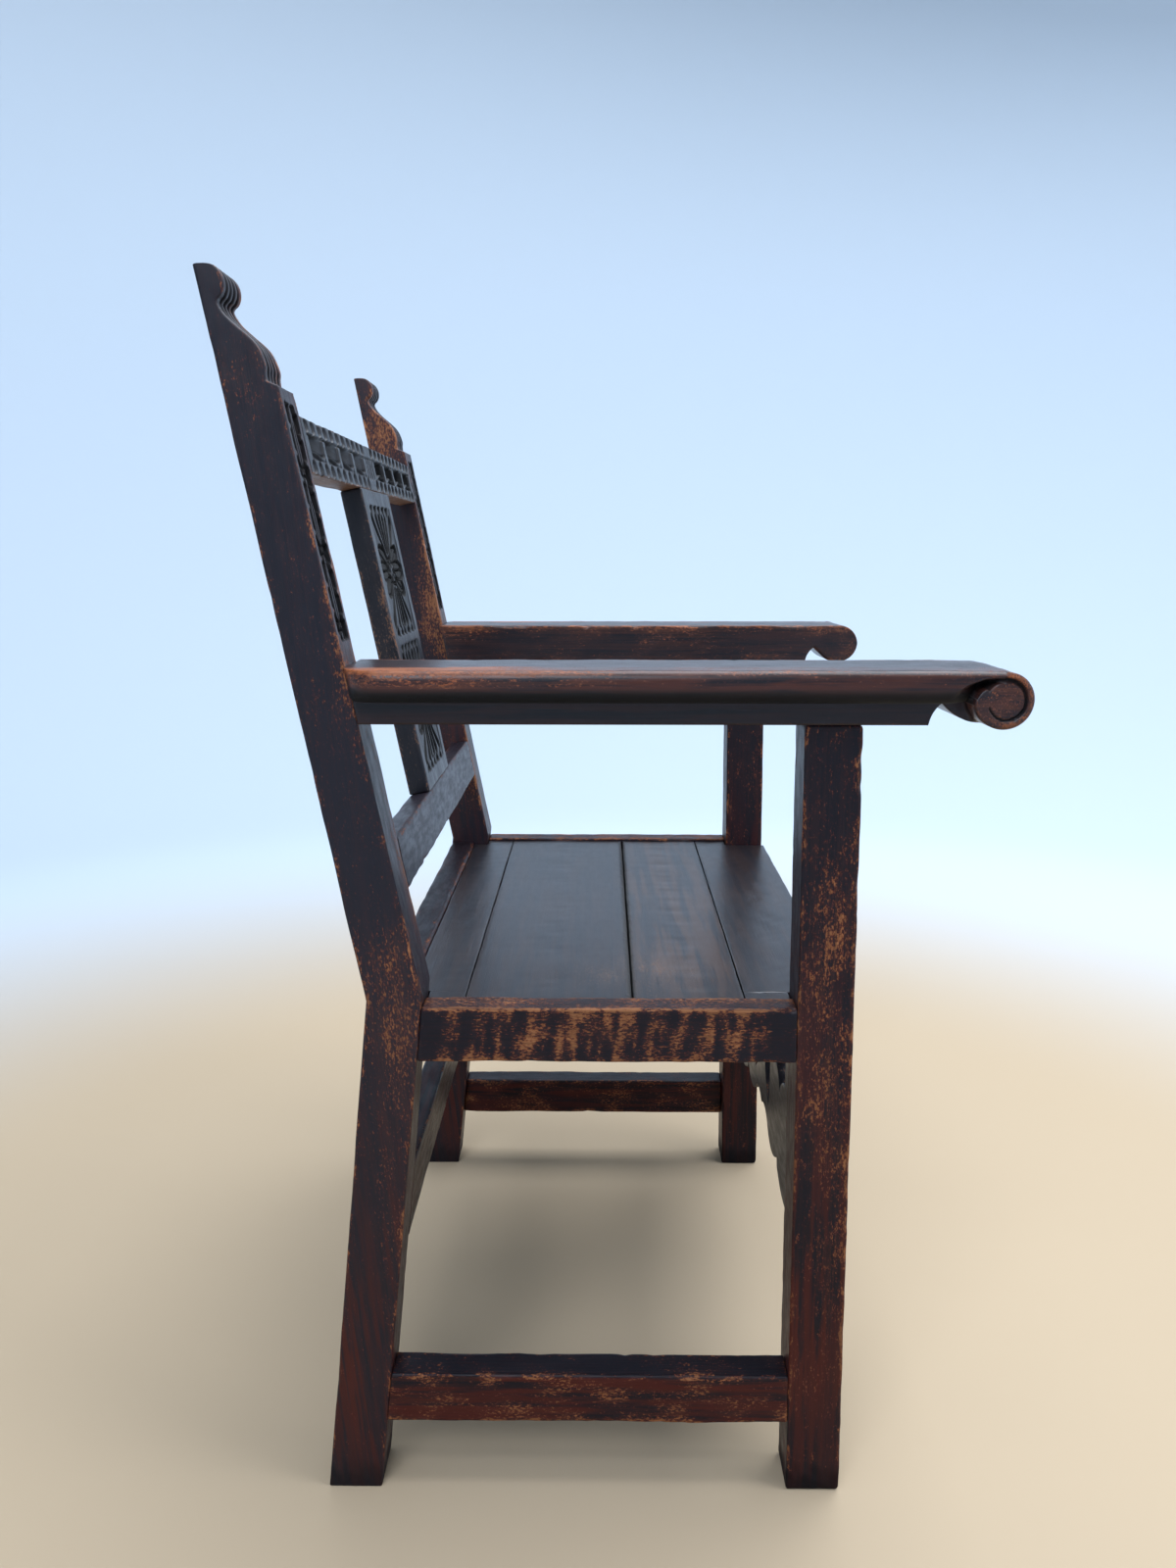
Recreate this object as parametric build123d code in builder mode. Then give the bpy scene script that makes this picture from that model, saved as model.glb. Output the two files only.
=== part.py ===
from build123d import *
import os
from math import atan2, cos, pi, sin

os.makedirs("parts", exist_ok=True)

# Carved wooden armchair. Millimetres, +Z up. The chair faces -Y and the sitter's left is +X.
# The origin is on the floor, under the middle of the chair's outer box.

# ---------------------------------------------------------------- driving dimensions
HALF_WIDTH = 302.0        # centre line to the outer faces of posts, legs and side rails
POST_T = 46.0             # rear post, across the chair
LEG_T = 45.0              # front leg, across the chair

# Side outlines are (y, z) pairs.
POST_FOOT_FRONT = (198.7, 0.0)
POST_FOOT_REAR = (244.0, 0.0)
POST_BEND_FRONT = (152.6, 443.0)
POST_BEND_REAR = (197.4, 439.0)
POST_SHOULDER = (244.0, 905.0)
POST_TOP_REAR = (301.0, 986.5)

LEG_FOOT_REAR = (-147.0, 0.0)
LEG_FOOT_FRONT = (-192.5, 0.0)
LEG_TOP_REAR = (-141.4, 660.0)
LEG_TOP_FRONT = (-185.7, 660.0)

RAIL_TOP = 434.0          # seat side rails and rear rail
RAIL_BOTTOM = 389.0
RAIL_T = 26.0
REAR_RAIL_FRONT = 170.0
REAR_RAIL_REAR = 197.5

SEAT_TOP = 431.0
BOARD_T = 18.0
SEAT_BACK = 169.6
SEAT_FRONT = -190.0
BOARD_JOINTS = (122.5, -14.0, -105.5)
JOINT_GAPS = (0.6, 1.6, 0.8)
BOARD_CLEARANCE = 0.8

FRONT_RAIL_FRONT = -186.0
FRONT_RAIL_REAR = -158.0
FRONT_RAIL_HEIGHT = 45.0

ARM_TOP = 704.0
ARM_BOTTOM = 660.0
NOSE_BOTTOM = 679.0       # underside of the rounded outer lip
ARM_INNER = 237.0         # |x| of the arm's inner face
ARM_OUTER = 336.0         # |x| of the lip's outer edge
LIP_CORNER = 30.0         # rounding of the lip's rear corner, seen from above
SCROLL_Y = -279.5
SCROLL_R = 21.5
SCROLL_OUTER = 334.0      # |x| of the scroll's flat end
GROOVE_R = 13.3
GROOVE_SHIFT = 1.3        # the groove's centre is a little forward and down from the scroll's
GROOVE_W = 1.6
GROOVE_DEPTH = 2.0
RAIL_END = -233.5         # where the arm's lower part stops, behind the scroll

SIDE_STRETCHER_BOTTOM = 64.0
SIDE_STRETCHER_TOP = 108.5
SIDE_STRETCHER_T = 30.0
REAR_STRETCHER_BOTTOM = 209.0
REAR_STRETCHER_TOP = 277.0
REAR_STRETCHER_T = 22.0

# The back is measured along its rake, up from the front bend of the posts.
CREST_LOW = 411.5
CREST_HEIGHT = 44.0
LOWER_RAIL_LOW = 77.5
LOWER_RAIL_HEIGHT = 44.5
BACK_T = 20.0             # crest rail, splat and lower back rail
SPLAT_WIDTH = 142.0

APRON_BACK = -160.0
APRON_T = 18.0

TENON_L = 24.0
TENON_T = 10.0
CARVE_DEPTH = 3.0
CUT_MARGIN = 10.0         # how far a cutter reaches past the wood

RAKE = atan2(POST_SHOULDER[0] - POST_BEND_FRONT[0], POST_SHOULDER[1] - POST_BEND_FRONT[1])
UP = Vector(0, sin(RAKE), cos(RAKE))          # up along the back
OUT = Vector(0, -cos(RAKE), sin(RAKE))        # out of the back's front face
BACK_ORIGIN = Vector(0, *POST_BEND_FRONT)
BETWEEN_POSTS = 2 * (HALF_WIDTH - POST_T)
BETWEEN_LEGS = 2 * (HALF_WIDTH - LEG_T)


# ---------------------------------------------------------------- small helpers
def back_plane(along=0.0, depth=0.0, x=0.0):
    """Plane parallel to the back's front face: local y runs up the rake, the normal faces forward."""
    origin = BACK_ORIGIN + UP * along - OUT * depth + Vector(x, 0, 0)
    return Plane(origin=origin, x_dir=(1, 0, 0), z_dir=OUT)


def side_plane(side, x, y, z):
    """Plane facing outward on one side: local x runs towards the back."""
    return Plane(origin=(side * x, y, z), x_dir=(0, 1, 0), z_dir=(side, 0, 0))


def raked_side_plane(side, x, along, depth):
    """Like side_plane, but turned with the rake of the back."""
    origin = BACK_ORIGIN + UP * along - OUT * depth + Vector(side * x, 0, 0)
    return Plane(origin=origin, x_dir=-OUT, z_dir=(side, 0, 0))


def end_plane(side, x, y, z, direction):
    """Plane facing along Y (direction -1 faces the front): local x runs across the chair."""
    return Plane(origin=(side * x, y, z), x_dir=(1, 0, 0), z_dir=(0, direction, 0))


def block(plane, width, height, length, mode=Mode.ADD):
    """Straight block standing on a plane: a tenon when added, a mortise when cut."""
    with BuildSketch(plane) as section:
        Rectangle(width, height)
    extrude(section.sketch, amount=length, mode=mode)


def on_line(lower, upper, z):
    """The y at height z on the straight line through two (y, z) points."""
    return lower[0] + (upper[0] - lower[0]) * (z - lower[1]) / (upper[1] - lower[1])


def slab(side, inner, outer, points, mode=Mode.ADD):
    """Straight-edged side outline, carried across the chair from |x| = inner to outer."""
    low = min(side * inner, side * outer)
    with BuildSketch(Plane.YZ.offset(low)) as outline:
        Polygon(*points, align=None)
    extrude(outline.sketch, amount=outer - inner, mode=mode)


def finish(part, name):
    part.label = name
    export_step(part, f"parts/{name}.step")


SIDES = (("left", 1), ("right", -1))

# ---------------------------------------------------------------- shared joint places
RAIL_MID = (RAIL_TOP + RAIL_BOTTOM) / 2
RAIL_TENON_H = 30.0
RAIL_TENON_X = HALF_WIDTH - RAIL_T / 2
RAIL_TENON_SINK = 22.0
STRETCHER_MID = (SIDE_STRETCHER_TOP + SIDE_STRETCHER_BOTTOM) / 2
STRETCHER_TENON_H = 28.0
STRETCHER_TENON_X = HALF_WIDTH - SIDE_STRETCHER_T / 2
REAR_STRETCHER_MID = (REAR_STRETCHER_TOP + REAR_STRETCHER_BOTTOM) / 2
REAR_STRETCHER_TENON_H = 46.0
CROSS_TENON_L = 18.0      # tenons that run across the chair stop short of the ones along it
CREST_MID = CREST_LOW + CREST_HEIGHT / 2
LOWER_RAIL_MID = LOWER_RAIL_LOW + LOWER_RAIL_HEIGHT / 2
BACK_TENON_H = 30.0
BACK_TENON_DEPTH = BACK_T / 2
SPLAT_TENON_W = 96.0
SPLAT_TENON_T = 8.0
SPLAT_TENON_L = 12.0
ARM_TENON_H = 26.0
ARM_TENON_T = 14.0
ARM_TENON_X = 279.0
ARM_TENON_Z = 682.0
LEG_TENON = 22.0
LEG_TENON_L = 28.0
FRONT_RAIL_TOP = SEAT_TOP - BOARD_T
FRONT_RAIL_MID = FRONT_RAIL_TOP - FRONT_RAIL_HEIGHT / 2
APRON_TOP = FRONT_RAIL_TOP - FRONT_RAIL_HEIGHT
APRON_TENON_Z = 300.0
APRON_TENON_H = 90.0
APRON_TENON_L = 14.0
TONGUE_H = 8.0            # apron's top tongue, let into the front rail
TONGUE_T = 8.0


def post_front(z):
    if z < POST_BEND_FRONT[1]:
        return on_line(POST_FOOT_FRONT, POST_BEND_FRONT, z)
    return on_line(POST_BEND_FRONT, POST_SHOULDER, z)


def leg_rear(z):
    return on_line(LEG_FOOT_REAR, LEG_TOP_REAR, z)


LEG_TENON_Y = (LEG_TOP_REAR[0] + LEG_TOP_FRONT[0]) / 2
REAR_RAIL_MID_Y = (REAR_RAIL_FRONT + REAR_RAIL_REAR) / 2
FRONT_RAIL_MID_Y = (FRONT_RAIL_FRONT + FRONT_RAIL_REAR) / 2
REAR_STRETCHER_Y = post_front(REAR_STRETCHER_MID) + REAR_STRETCHER_T / 2
APRON_MID_Y = APRON_BACK - APRON_T / 2


def cut_across_mortises(side, face_x):
    """Mortises in a post's inner face, for everything that runs across the back."""
    block(side_plane(side, face_x, REAR_RAIL_MID_Y, RAIL_MID),
          TENON_T, RAIL_TENON_H, CROSS_TENON_L, Mode.SUBTRACT)
    block(side_plane(side, face_x, REAR_STRETCHER_Y, REAR_STRETCHER_MID),
          TENON_T, REAR_STRETCHER_TENON_H, CROSS_TENON_L, Mode.SUBTRACT)
    for along in (CREST_MID, LOWER_RAIL_MID):
        block(raked_side_plane(side, face_x, along, BACK_TENON_DEPTH),
              TENON_T, BACK_TENON_H, TENON_L, Mode.SUBTRACT)


# ---------------------------------------------------------------- rear posts
LEDGE = (252.4, 908.5)              # foot of the finial, on the shoulder
NECK = (285.2, 962.5)
VOLUTE_FRONT = (279.6, 974.5)
VOLUTE_TOP = (285.5, 986.5)
TOP_CROWN = (293.2, 988.0)          # highest point of the chair
FINIAL_CURVE = (LEDGE, (252.8, 919.5), (259.3, 934.5), (270.3, 944.7), (280.0, 953.5), NECK)
FLUTE_W = 5.0
FLUTE_PITCH = 12.0
FLUTE_DEPTH = 2.0

FIELD_LOW = 285.0                   # sunk panel on the front of each post, along the rake
FIELD_HEIGHT = 175.0
FIELD_W = 18.0
NICK_L = 24.0
NICK_W = 3.0
NICK_PITCH = 36.0
NICKS = 5
NICK_COLUMNS = 28.0                 # between the two columns of nicks


def rear_post(side):
    face_x = HALF_WIDTH - POST_T
    mid_x = side * (HALF_WIDTH - POST_T / 2)
    low_x = min(side * HALF_WIDTH, side * face_x)
    with BuildPart() as post:
        with BuildSketch(Plane.YZ.offset(low_x)):
            with BuildLine():
                Spline(*FINIAL_CURVE)
                ThreePointArc(NECK, VOLUTE_FRONT, VOLUTE_TOP)
                ThreePointArc(VOLUTE_TOP, TOP_CROWN, POST_TOP_REAR)
                Polyline(POST_TOP_REAR, POST_BEND_REAR, POST_FOOT_REAR,
                         POST_FOOT_FRONT, POST_BEND_FRONT, POST_SHOULDER, LEDGE)
            make_face()
        extrude(amount=POST_T)

        # Flutes that follow the finial's front, up to the neck.
        for step in (-1, 0, 1):
            flute_x = mid_x + step * FLUTE_PITCH - FLUTE_W / 2
            with BuildSketch(Plane.YZ.offset(flute_x)) as flute:
                with BuildLine():
                    Spline(*FINIAL_CURVE[1:])
                trace(line_width=2 * FLUTE_DEPTH)
            extrude(flute.sketch, amount=FLUTE_W, mode=Mode.SUBTRACT)

        # Sunk panel with a row of nicks down each border.
        block(back_plane(FIELD_LOW + FIELD_HEIGHT / 2, 0, mid_x),
              FIELD_W, FIELD_HEIGHT, -CARVE_DEPTH, Mode.SUBTRACT)
        with BuildSketch(back_plane(FIELD_LOW + FIELD_HEIGHT / 2, 0, mid_x)) as nicks:
            with GridLocations(NICK_COLUMNS, NICK_PITCH, 2, NICKS):
                SlotOverall(NICK_L, NICK_W, rotation=90)
        extrude(nicks.sketch, amount=-CARVE_DEPTH, mode=Mode.SUBTRACT)

        cut_across_mortises(side, face_x)
        # Mortises in the front face: seat side rail, side stretcher and arm.
        block(end_plane(side, RAIL_TENON_X, 0, RAIL_MID, 1), TENON_T, RAIL_TENON_H,
              post_front(RAIL_MID) + RAIL_TENON_SINK, Mode.SUBTRACT)
        block(end_plane(side, STRETCHER_TENON_X, 0, STRETCHER_MID, 1), TENON_T,
              STRETCHER_TENON_H, post_front(STRETCHER_MID) + RAIL_TENON_SINK, Mode.SUBTRACT)
        block(end_plane(side, ARM_TENON_X, 0, ARM_TENON_Z, 1), ARM_TENON_T,
              ARM_TENON_H, post_front(ARM_TENON_Z) + RAIL_TENON_SINK, Mode.SUBTRACT)
    return post.part


# ---------------------------------------------------------------- front legs
def front_leg(side):
    face_x = HALF_WIDTH - LEG_T
    with BuildPart() as leg:
        slab(side, face_x, HALF_WIDTH,
             (LEG_FOOT_REAR, LEG_TOP_REAR, LEG_TOP_FRONT, LEG_FOOT_FRONT))
        # Tenon up into the arm.
        block(Plane.XY.offset(ARM_BOTTOM).shift_origin(
            (side * (HALF_WIDTH - LEG_T / 2), LEG_TENON_Y, ARM_BOTTOM)),
            LEG_TENON, LEG_TENON, LEG_TENON_L)
        # Mortises: side rail and side stretcher from behind, front rail and apron from inside.
        block(end_plane(side, RAIL_TENON_X, 0, RAIL_MID, -1), TENON_T, RAIL_TENON_H,
              RAIL_TENON_SINK - leg_rear(RAIL_MID), Mode.SUBTRACT)
        block(end_plane(side, STRETCHER_TENON_X, 0, STRETCHER_MID, -1), TENON_T,
              STRETCHER_TENON_H, RAIL_TENON_SINK - leg_rear(STRETCHER_MID), Mode.SUBTRACT)
        block(side_plane(side, face_x, FRONT_RAIL_MID_Y, FRONT_RAIL_MID),
              TENON_T, RAIL_TENON_H, CROSS_TENON_L, Mode.SUBTRACT)
        block(side_plane(side, face_x, APRON_MID_Y, APRON_TENON_Z),
              TENON_T, APRON_TENON_H, APRON_TENON_L, Mode.SUBTRACT)
    return leg.part


# ---------------------------------------------------------------- arms
# The underside runs from the scroll's tail up into a hollow, and down to the lower part's end.
SCROLL_TAIL = (SCROLL_Y + 13.0, ARM_TOP - 2 * SCROLL_R + 1.0)
HOLLOW_TOP = (RAIL_END - 6.0, NOSE_BOTTOM + 2.0)
HOLLOW_MIDDLE = (RAIL_END - 1.5, NOSE_BOTTOM - 6.0)


def arm(side):
    scroll_z = ARM_TOP - SCROLL_R
    scroll_front = SCROLL_Y - SCROLL_R
    nose_r = (ARM_TOP - NOSE_BOTTOM) / 2
    rear_top = post_front(ARM_TOP)
    rear_bottom = post_front(ARM_BOTTOM)
    rear_nose = post_front(NOSE_BOTTOM)
    low_x = min(side * ARM_INNER, side * HALF_WIDTH)
    with BuildPart() as piece:
        # Body of the arm, between its inner face and the outer face of the legs.
        with BuildSketch(Plane.YZ.offset(low_x)):
            with BuildLine():
                ThreePointArc((SCROLL_Y, ARM_TOP), (scroll_front, scroll_z),
                              (SCROLL_Y, ARM_TOP - 2 * SCROLL_R))
                Polyline((SCROLL_Y, ARM_TOP - 2 * SCROLL_R), SCROLL_TAIL, HOLLOW_TOP)
                ThreePointArc(HOLLOW_TOP, HOLLOW_MIDDLE, (RAIL_END, ARM_BOTTOM))
                Polyline((RAIL_END, ARM_BOTTOM), (rear_bottom, ARM_BOTTOM), (rear_top, ARM_TOP),
                         (SCROLL_Y, ARM_TOP))
            make_face()
        extrude(amount=HALF_WIDTH - ARM_INNER)

        # Outer lip: a half-round edge that runs the arm's length and rolls into the scroll.
        slab(side, HALF_WIDTH, ARM_OUTER,
             ((SCROLL_Y, NOSE_BOTTOM), (rear_nose, NOSE_BOTTOM), (rear_top, ARM_TOP),
              (SCROLL_Y, ARM_TOP)))
        outer_x = side * ARM_OUTER
        lip_edges = piece.edges().filter_by(Axis.Y).filter_by_position(
            Axis.X, outer_x - 0.1, outer_x + 0.1)
        fillet(lip_edges, radius=nose_r - 0.2)
        with BuildSketch(side_plane(side, HALF_WIDTH, SCROLL_Y, scroll_z)) as scroll:
            Circle(SCROLL_R)
        extrude(scroll.sketch, amount=SCROLL_OUTER - HALF_WIDTH)

        # The lip's rear corner is rounded off, seen from above.
        corner = Plane.XY.offset(NOSE_BOTTOM - 1)
        with BuildSketch(corner) as waste:
            with BuildLine():
                start = (side * (ARM_OUTER - LIP_CORNER), rear_top)
                end = (side * ARM_OUTER, rear_nose - LIP_CORNER)
                inset = LIP_CORNER * (1 - sin(pi / 4))
                middle = (side * (ARM_OUTER - inset), rear_nose - inset)
                ThreePointArc(start, middle, end)
                beyond_x = side * (ARM_OUTER + CUT_MARGIN)
                beyond_y = rear_top + CUT_MARGIN
                Polyline(end, (beyond_x, end[1]), (beyond_x, beyond_y), (start[0], beyond_y), start)
            make_face()
        extrude(waste.sketch, amount=ARM_TOP - NOSE_BOTTOM + 2, mode=Mode.SUBTRACT)

        # Most of one turn of a groove on the scroll's outer end, open towards the rear.
        with BuildSketch(side_plane(side, SCROLL_OUTER, SCROLL_Y, scroll_z)) as groove:
            with BuildLine():
                CenterArc((-GROOVE_SHIFT, -side * GROOVE_SHIFT), GROOVE_R, 65 * side, 280 * side)
            trace(line_width=GROOVE_W)
        extrude(groove.sketch, amount=-GROOVE_DEPTH, mode=Mode.SUBTRACT)

        # Tenon into the post, and the mortise for the leg's top tenon.
        tenon_root = rear_bottom - CUT_MARGIN
        block(end_plane(side, ARM_TENON_X, tenon_root, ARM_TENON_Z, 1), ARM_TENON_T,
              ARM_TENON_H, post_front(ARM_TENON_Z) + RAIL_TENON_SINK - tenon_root)
        block(Plane.XY.offset(ARM_BOTTOM).shift_origin(
            (side * (HALF_WIDTH - LEG_T / 2), LEG_TENON_Y, ARM_BOTTOM)),
            LEG_TENON, LEG_TENON, LEG_TENON_L, Mode.SUBTRACT)
    return piece.part


# ---------------------------------------------------------------- seat side rails and stretchers
def lengthwise_rail(side, bottom, top, thickness, tenon_x, tenon_h):
    """A rail that runs from a front leg back to a rear post, outer face flush with both."""
    middle = (bottom + top) / 2
    with BuildPart() as rail:
        slab(side, HALF_WIDTH - thickness, HALF_WIDTH,
             ((leg_rear(bottom), bottom), (post_front(bottom), bottom),
              (post_front(top), top), (leg_rear(top), top)))
        block(end_plane(side, tenon_x, 0, middle, 1), TENON_T, tenon_h,
              post_front(middle) + RAIL_TENON_SINK)
        block(end_plane(side, tenon_x, 0, middle, -1), TENON_T, tenon_h,
              RAIL_TENON_SINK - leg_rear(middle))
    return rail.part


NAIL_R = 1.5
NAIL_HEAD_R = 3.2
NAIL_HEAD_T = 1.4
NAIL_SINK = 14.0          # how far each nail goes into the side rail
CLEAT_W = 18.0
CLEAT_H = 22.0
CLEAT_ENDS = (leg_rear(RAIL_BOTTOM) + 1.5, post_front(RAIL_TOP) - 3.0)
CLEAT_FACE = HALF_WIDTH - RAIL_T - CLEAT_W
NAIL_Z = FRONT_RAIL_TOP - CLEAT_H / 2
NAIL_YS = (-115.0, 5.0, 125.0)


def nail_holes(side):
    """Holes for the cleat nails, cut through whatever part is being built."""
    for y in NAIL_YS:
        with BuildSketch(side_plane(side, CLEAT_FACE, y, NAIL_Z)) as hole:
            Circle(NAIL_R)
        extrude(hole.sketch, amount=CLEAT_W + NAIL_SINK, mode=Mode.SUBTRACT)


def seat_side_rail(side):
    blank = lengthwise_rail(side, RAIL_BOTTOM, RAIL_TOP, RAIL_T, RAIL_TENON_X, RAIL_TENON_H)
    with BuildPart() as rail:
        add(blank)
        nail_holes(side)
    return rail.part


def seat_cleat(side):
    mid_y = (CLEAT_ENDS[0] + CLEAT_ENDS[1]) / 2
    with BuildPart() as cleat:
        block(side_plane(side, CLEAT_FACE, mid_y, NAIL_Z), CLEAT_ENDS[1] - CLEAT_ENDS[0],
              CLEAT_H, CLEAT_W)
        nail_holes(side)
    return cleat.part


for name, side in SIDES:
    finish(rear_post(side), f"rear_post_{name}")
    finish(front_leg(side), f"front_leg_{name}")
    finish(arm(side), f"arm_{name}")
    finish(seat_side_rail(side), f"seat_side_rail_{name}")
    finish(seat_cleat(side), f"seat_cleat_{name}")
    finish(lengthwise_rail(side, SIDE_STRETCHER_BOTTOM, SIDE_STRETCHER_TOP, SIDE_STRETCHER_T,
                           STRETCHER_TENON_X, STRETCHER_TENON_H), f"side_stretcher_{name}")

# ---------------------------------------------------------------- nails that hold the cleats
with BuildPart() as cleat_nails:
    for _, side in SIDES:
        for y in NAIL_YS:
            with BuildSketch(side_plane(side, CLEAT_FACE, y, NAIL_Z)) as shank:
                Circle(NAIL_R)
            extrude(shank.sketch, amount=CLEAT_W + NAIL_SINK)
            with BuildSketch(side_plane(side, CLEAT_FACE, y, NAIL_Z)) as head:
                Circle(NAIL_HEAD_R)
            extrude(head.sketch, amount=-NAIL_HEAD_T)
finish(cleat_nails.part, "cleat_nails")

# ---------------------------------------------------------------- crest rail
WINDOW_W = 47.0           # sunk windows, each side of the plain middle
WINDOW_H = 19.0
WINDOW_PITCH = 56.0
WINDOWS_PER_SIDE = 4
WINDOWS_X = 134.0
GOUGE_L = 13.0            # gouge cuts in a row along both edges
GOUGE_W = 7.0
GOUGE_PITCH = 22.0
GOUGES_PER_SIDE = 11
GOUGES_X = 131.0
GOUGE_ROW = 16.0          # height of each row above or below the rail's middle
GOUGE_DEPTH = 2.0

with BuildPart() as crest_rail:
    block(back_plane(CREST_MID), BETWEEN_POSTS, CREST_HEIGHT, -BACK_T)
    for _, side in SIDES:
        block(raked_side_plane(side, BETWEEN_POSTS / 2, CREST_MID, BACK_TENON_DEPTH),
              TENON_T, BACK_TENON_H, TENON_L)
    with BuildSketch(back_plane(CREST_MID)) as gouges:
        for _, side in SIDES:
            with Locations((side * GOUGES_X, 0)):
                with GridLocations(GOUGE_PITCH, 2 * GOUGE_ROW, GOUGES_PER_SIDE, 2):
                    SlotOverall(GOUGE_L, GOUGE_W)
    extrude(gouges.sketch, amount=-GOUGE_DEPTH, mode=Mode.SUBTRACT)
    with BuildSketch(back_plane(CREST_MID)) as windows:
        for _, side in SIDES:
            with Locations((side * WINDOWS_X, 0)):
                with GridLocations(WINDOW_PITCH, 1, WINDOWS_PER_SIDE, 1):
                    Rectangle(WINDOW_W, WINDOW_H)
    extrude(windows.sketch, amount=-CARVE_DEPTH, mode=Mode.SUBTRACT)
    block(Plane(origin=BACK_ORIGIN + UP * CREST_LOW - OUT * BACK_TENON_DEPTH, x_dir=(1, 0, 0),
                z_dir=UP), SPLAT_TENON_W, SPLAT_TENON_T, SPLAT_TENON_L, Mode.SUBTRACT)
finish(crest_rail.part, "crest_rail")

# ---------------------------------------------------------------- lower back rail
with BuildPart() as lower_back_rail:
    block(back_plane(LOWER_RAIL_MID), BETWEEN_POSTS, LOWER_RAIL_HEIGHT, -BACK_T)
    for _, side in SIDES:
        block(raked_side_plane(side, BETWEEN_POSTS / 2, LOWER_RAIL_MID, BACK_TENON_DEPTH),
              TENON_T, BACK_TENON_H, TENON_L)
    block(Plane(origin=BACK_ORIGIN + UP * (LOWER_RAIL_LOW + LOWER_RAIL_HEIGHT)
                - OUT * BACK_TENON_DEPTH, x_dir=(1, 0, 0), z_dir=-UP),
          SPLAT_TENON_W, SPLAT_TENON_T, SPLAT_TENON_L, Mode.SUBTRACT)
finish(lower_back_rail.part, "lower_back_rail")

# ---------------------------------------------------------------- splat
SPLAT_LOW = LOWER_RAIL_LOW + LOWER_RAIL_HEIGHT
SPLAT_LENGTH = CREST_LOW - SPLAT_LOW
PANEL_SIZE = 112.0
PANEL_MIDS = (SPLAT_LENGTH * 0.27, SPLAT_LENGTH * 0.74)
RAYS = 14
RAY_L = 38.0
RAY_W = 5.0
RAY_RING_R = 32.0
RAY_DEPTH = 2.5
PANEL_DEPTH = 1.5

with BuildPart() as back_splat:
    block(back_plane(SPLAT_LOW + SPLAT_LENGTH / 2), SPLAT_WIDTH, SPLAT_LENGTH, -BACK_T)
    block(Plane(origin=BACK_ORIGIN + UP * CREST_LOW - OUT * BACK_TENON_DEPTH, x_dir=(1, 0, 0),
                z_dir=UP), SPLAT_TENON_W, SPLAT_TENON_T, SPLAT_TENON_L)
    block(Plane(origin=BACK_ORIGIN + UP * SPLAT_LOW - OUT * BACK_TENON_DEPTH, x_dir=(1, 0, 0),
                z_dir=-UP), SPLAT_TENON_W, SPLAT_TENON_T, SPLAT_TENON_L)
    for middle in PANEL_MIDS:
        block(back_plane(SPLAT_LOW + middle), PANEL_SIZE, PANEL_SIZE, -PANEL_DEPTH, Mode.SUBTRACT)
        with BuildSketch(back_plane(SPLAT_LOW + middle, PANEL_DEPTH)) as rays:
            with PolarLocations(RAY_RING_R, RAYS, start_angle=90 / RAYS):
                SlotOverall(RAY_L, RAY_W)
        extrude(rays.sketch, amount=-RAY_DEPTH, mode=Mode.SUBTRACT)
finish(back_splat.part, "back_splat")

# ---------------------------------------------------------------- seat rear and front rails
with BuildPart() as seat_rear_rail:
    block(side_plane(1, -BETWEEN_POSTS / 2, REAR_RAIL_MID_Y, RAIL_MID),
          REAR_RAIL_REAR - REAR_RAIL_FRONT, RAIL_TOP - RAIL_BOTTOM, BETWEEN_POSTS)
    for _, side in SIDES:
        block(side_plane(side, BETWEEN_POSTS / 2, REAR_RAIL_MID_Y, RAIL_MID),
              TENON_T, RAIL_TENON_H, CROSS_TENON_L)
finish(seat_rear_rail.part, "seat_rear_rail")

with BuildPart() as seat_front_rail:
    block(side_plane(1, -BETWEEN_LEGS / 2, FRONT_RAIL_MID_Y, FRONT_RAIL_MID),
          FRONT_RAIL_REAR - FRONT_RAIL_FRONT, FRONT_RAIL_HEIGHT, BETWEEN_LEGS)
    for _, side in SIDES:
        block(side_plane(side, BETWEEN_LEGS / 2, FRONT_RAIL_MID_Y, FRONT_RAIL_MID),
              TENON_T, RAIL_TENON_H, CROSS_TENON_L)
    # Groove along the underside for the apron's tongue.
    block(Plane(origin=(0, APRON_MID_Y, APRON_TOP), x_dir=(1, 0, 0), z_dir=(0, 0, 1)),
          BETWEEN_LEGS, TONGUE_T, TONGUE_H, Mode.SUBTRACT)
finish(seat_front_rail.part, "seat_front_rail")

# ---------------------------------------------------------------- rear stretcher
with BuildPart() as rear_stretcher:
    low_front = post_front(REAR_STRETCHER_BOTTOM)
    high_front = post_front(REAR_STRETCHER_TOP)
    with BuildSketch(Plane.YZ.offset(-BETWEEN_POSTS / 2)):
        Polygon((low_front, REAR_STRETCHER_BOTTOM),
                (low_front + REAR_STRETCHER_T, REAR_STRETCHER_BOTTOM),
                (high_front + REAR_STRETCHER_T, REAR_STRETCHER_TOP),
                (high_front, REAR_STRETCHER_TOP), align=None)
    extrude(amount=BETWEEN_POSTS)
    for _, side in SIDES:
        block(side_plane(side, BETWEEN_POSTS / 2, REAR_STRETCHER_Y, REAR_STRETCHER_MID),
              TENON_T, REAR_STRETCHER_TENON_H, CROSS_TENON_L)
finish(rear_stretcher.part, "rear_stretcher")

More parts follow.
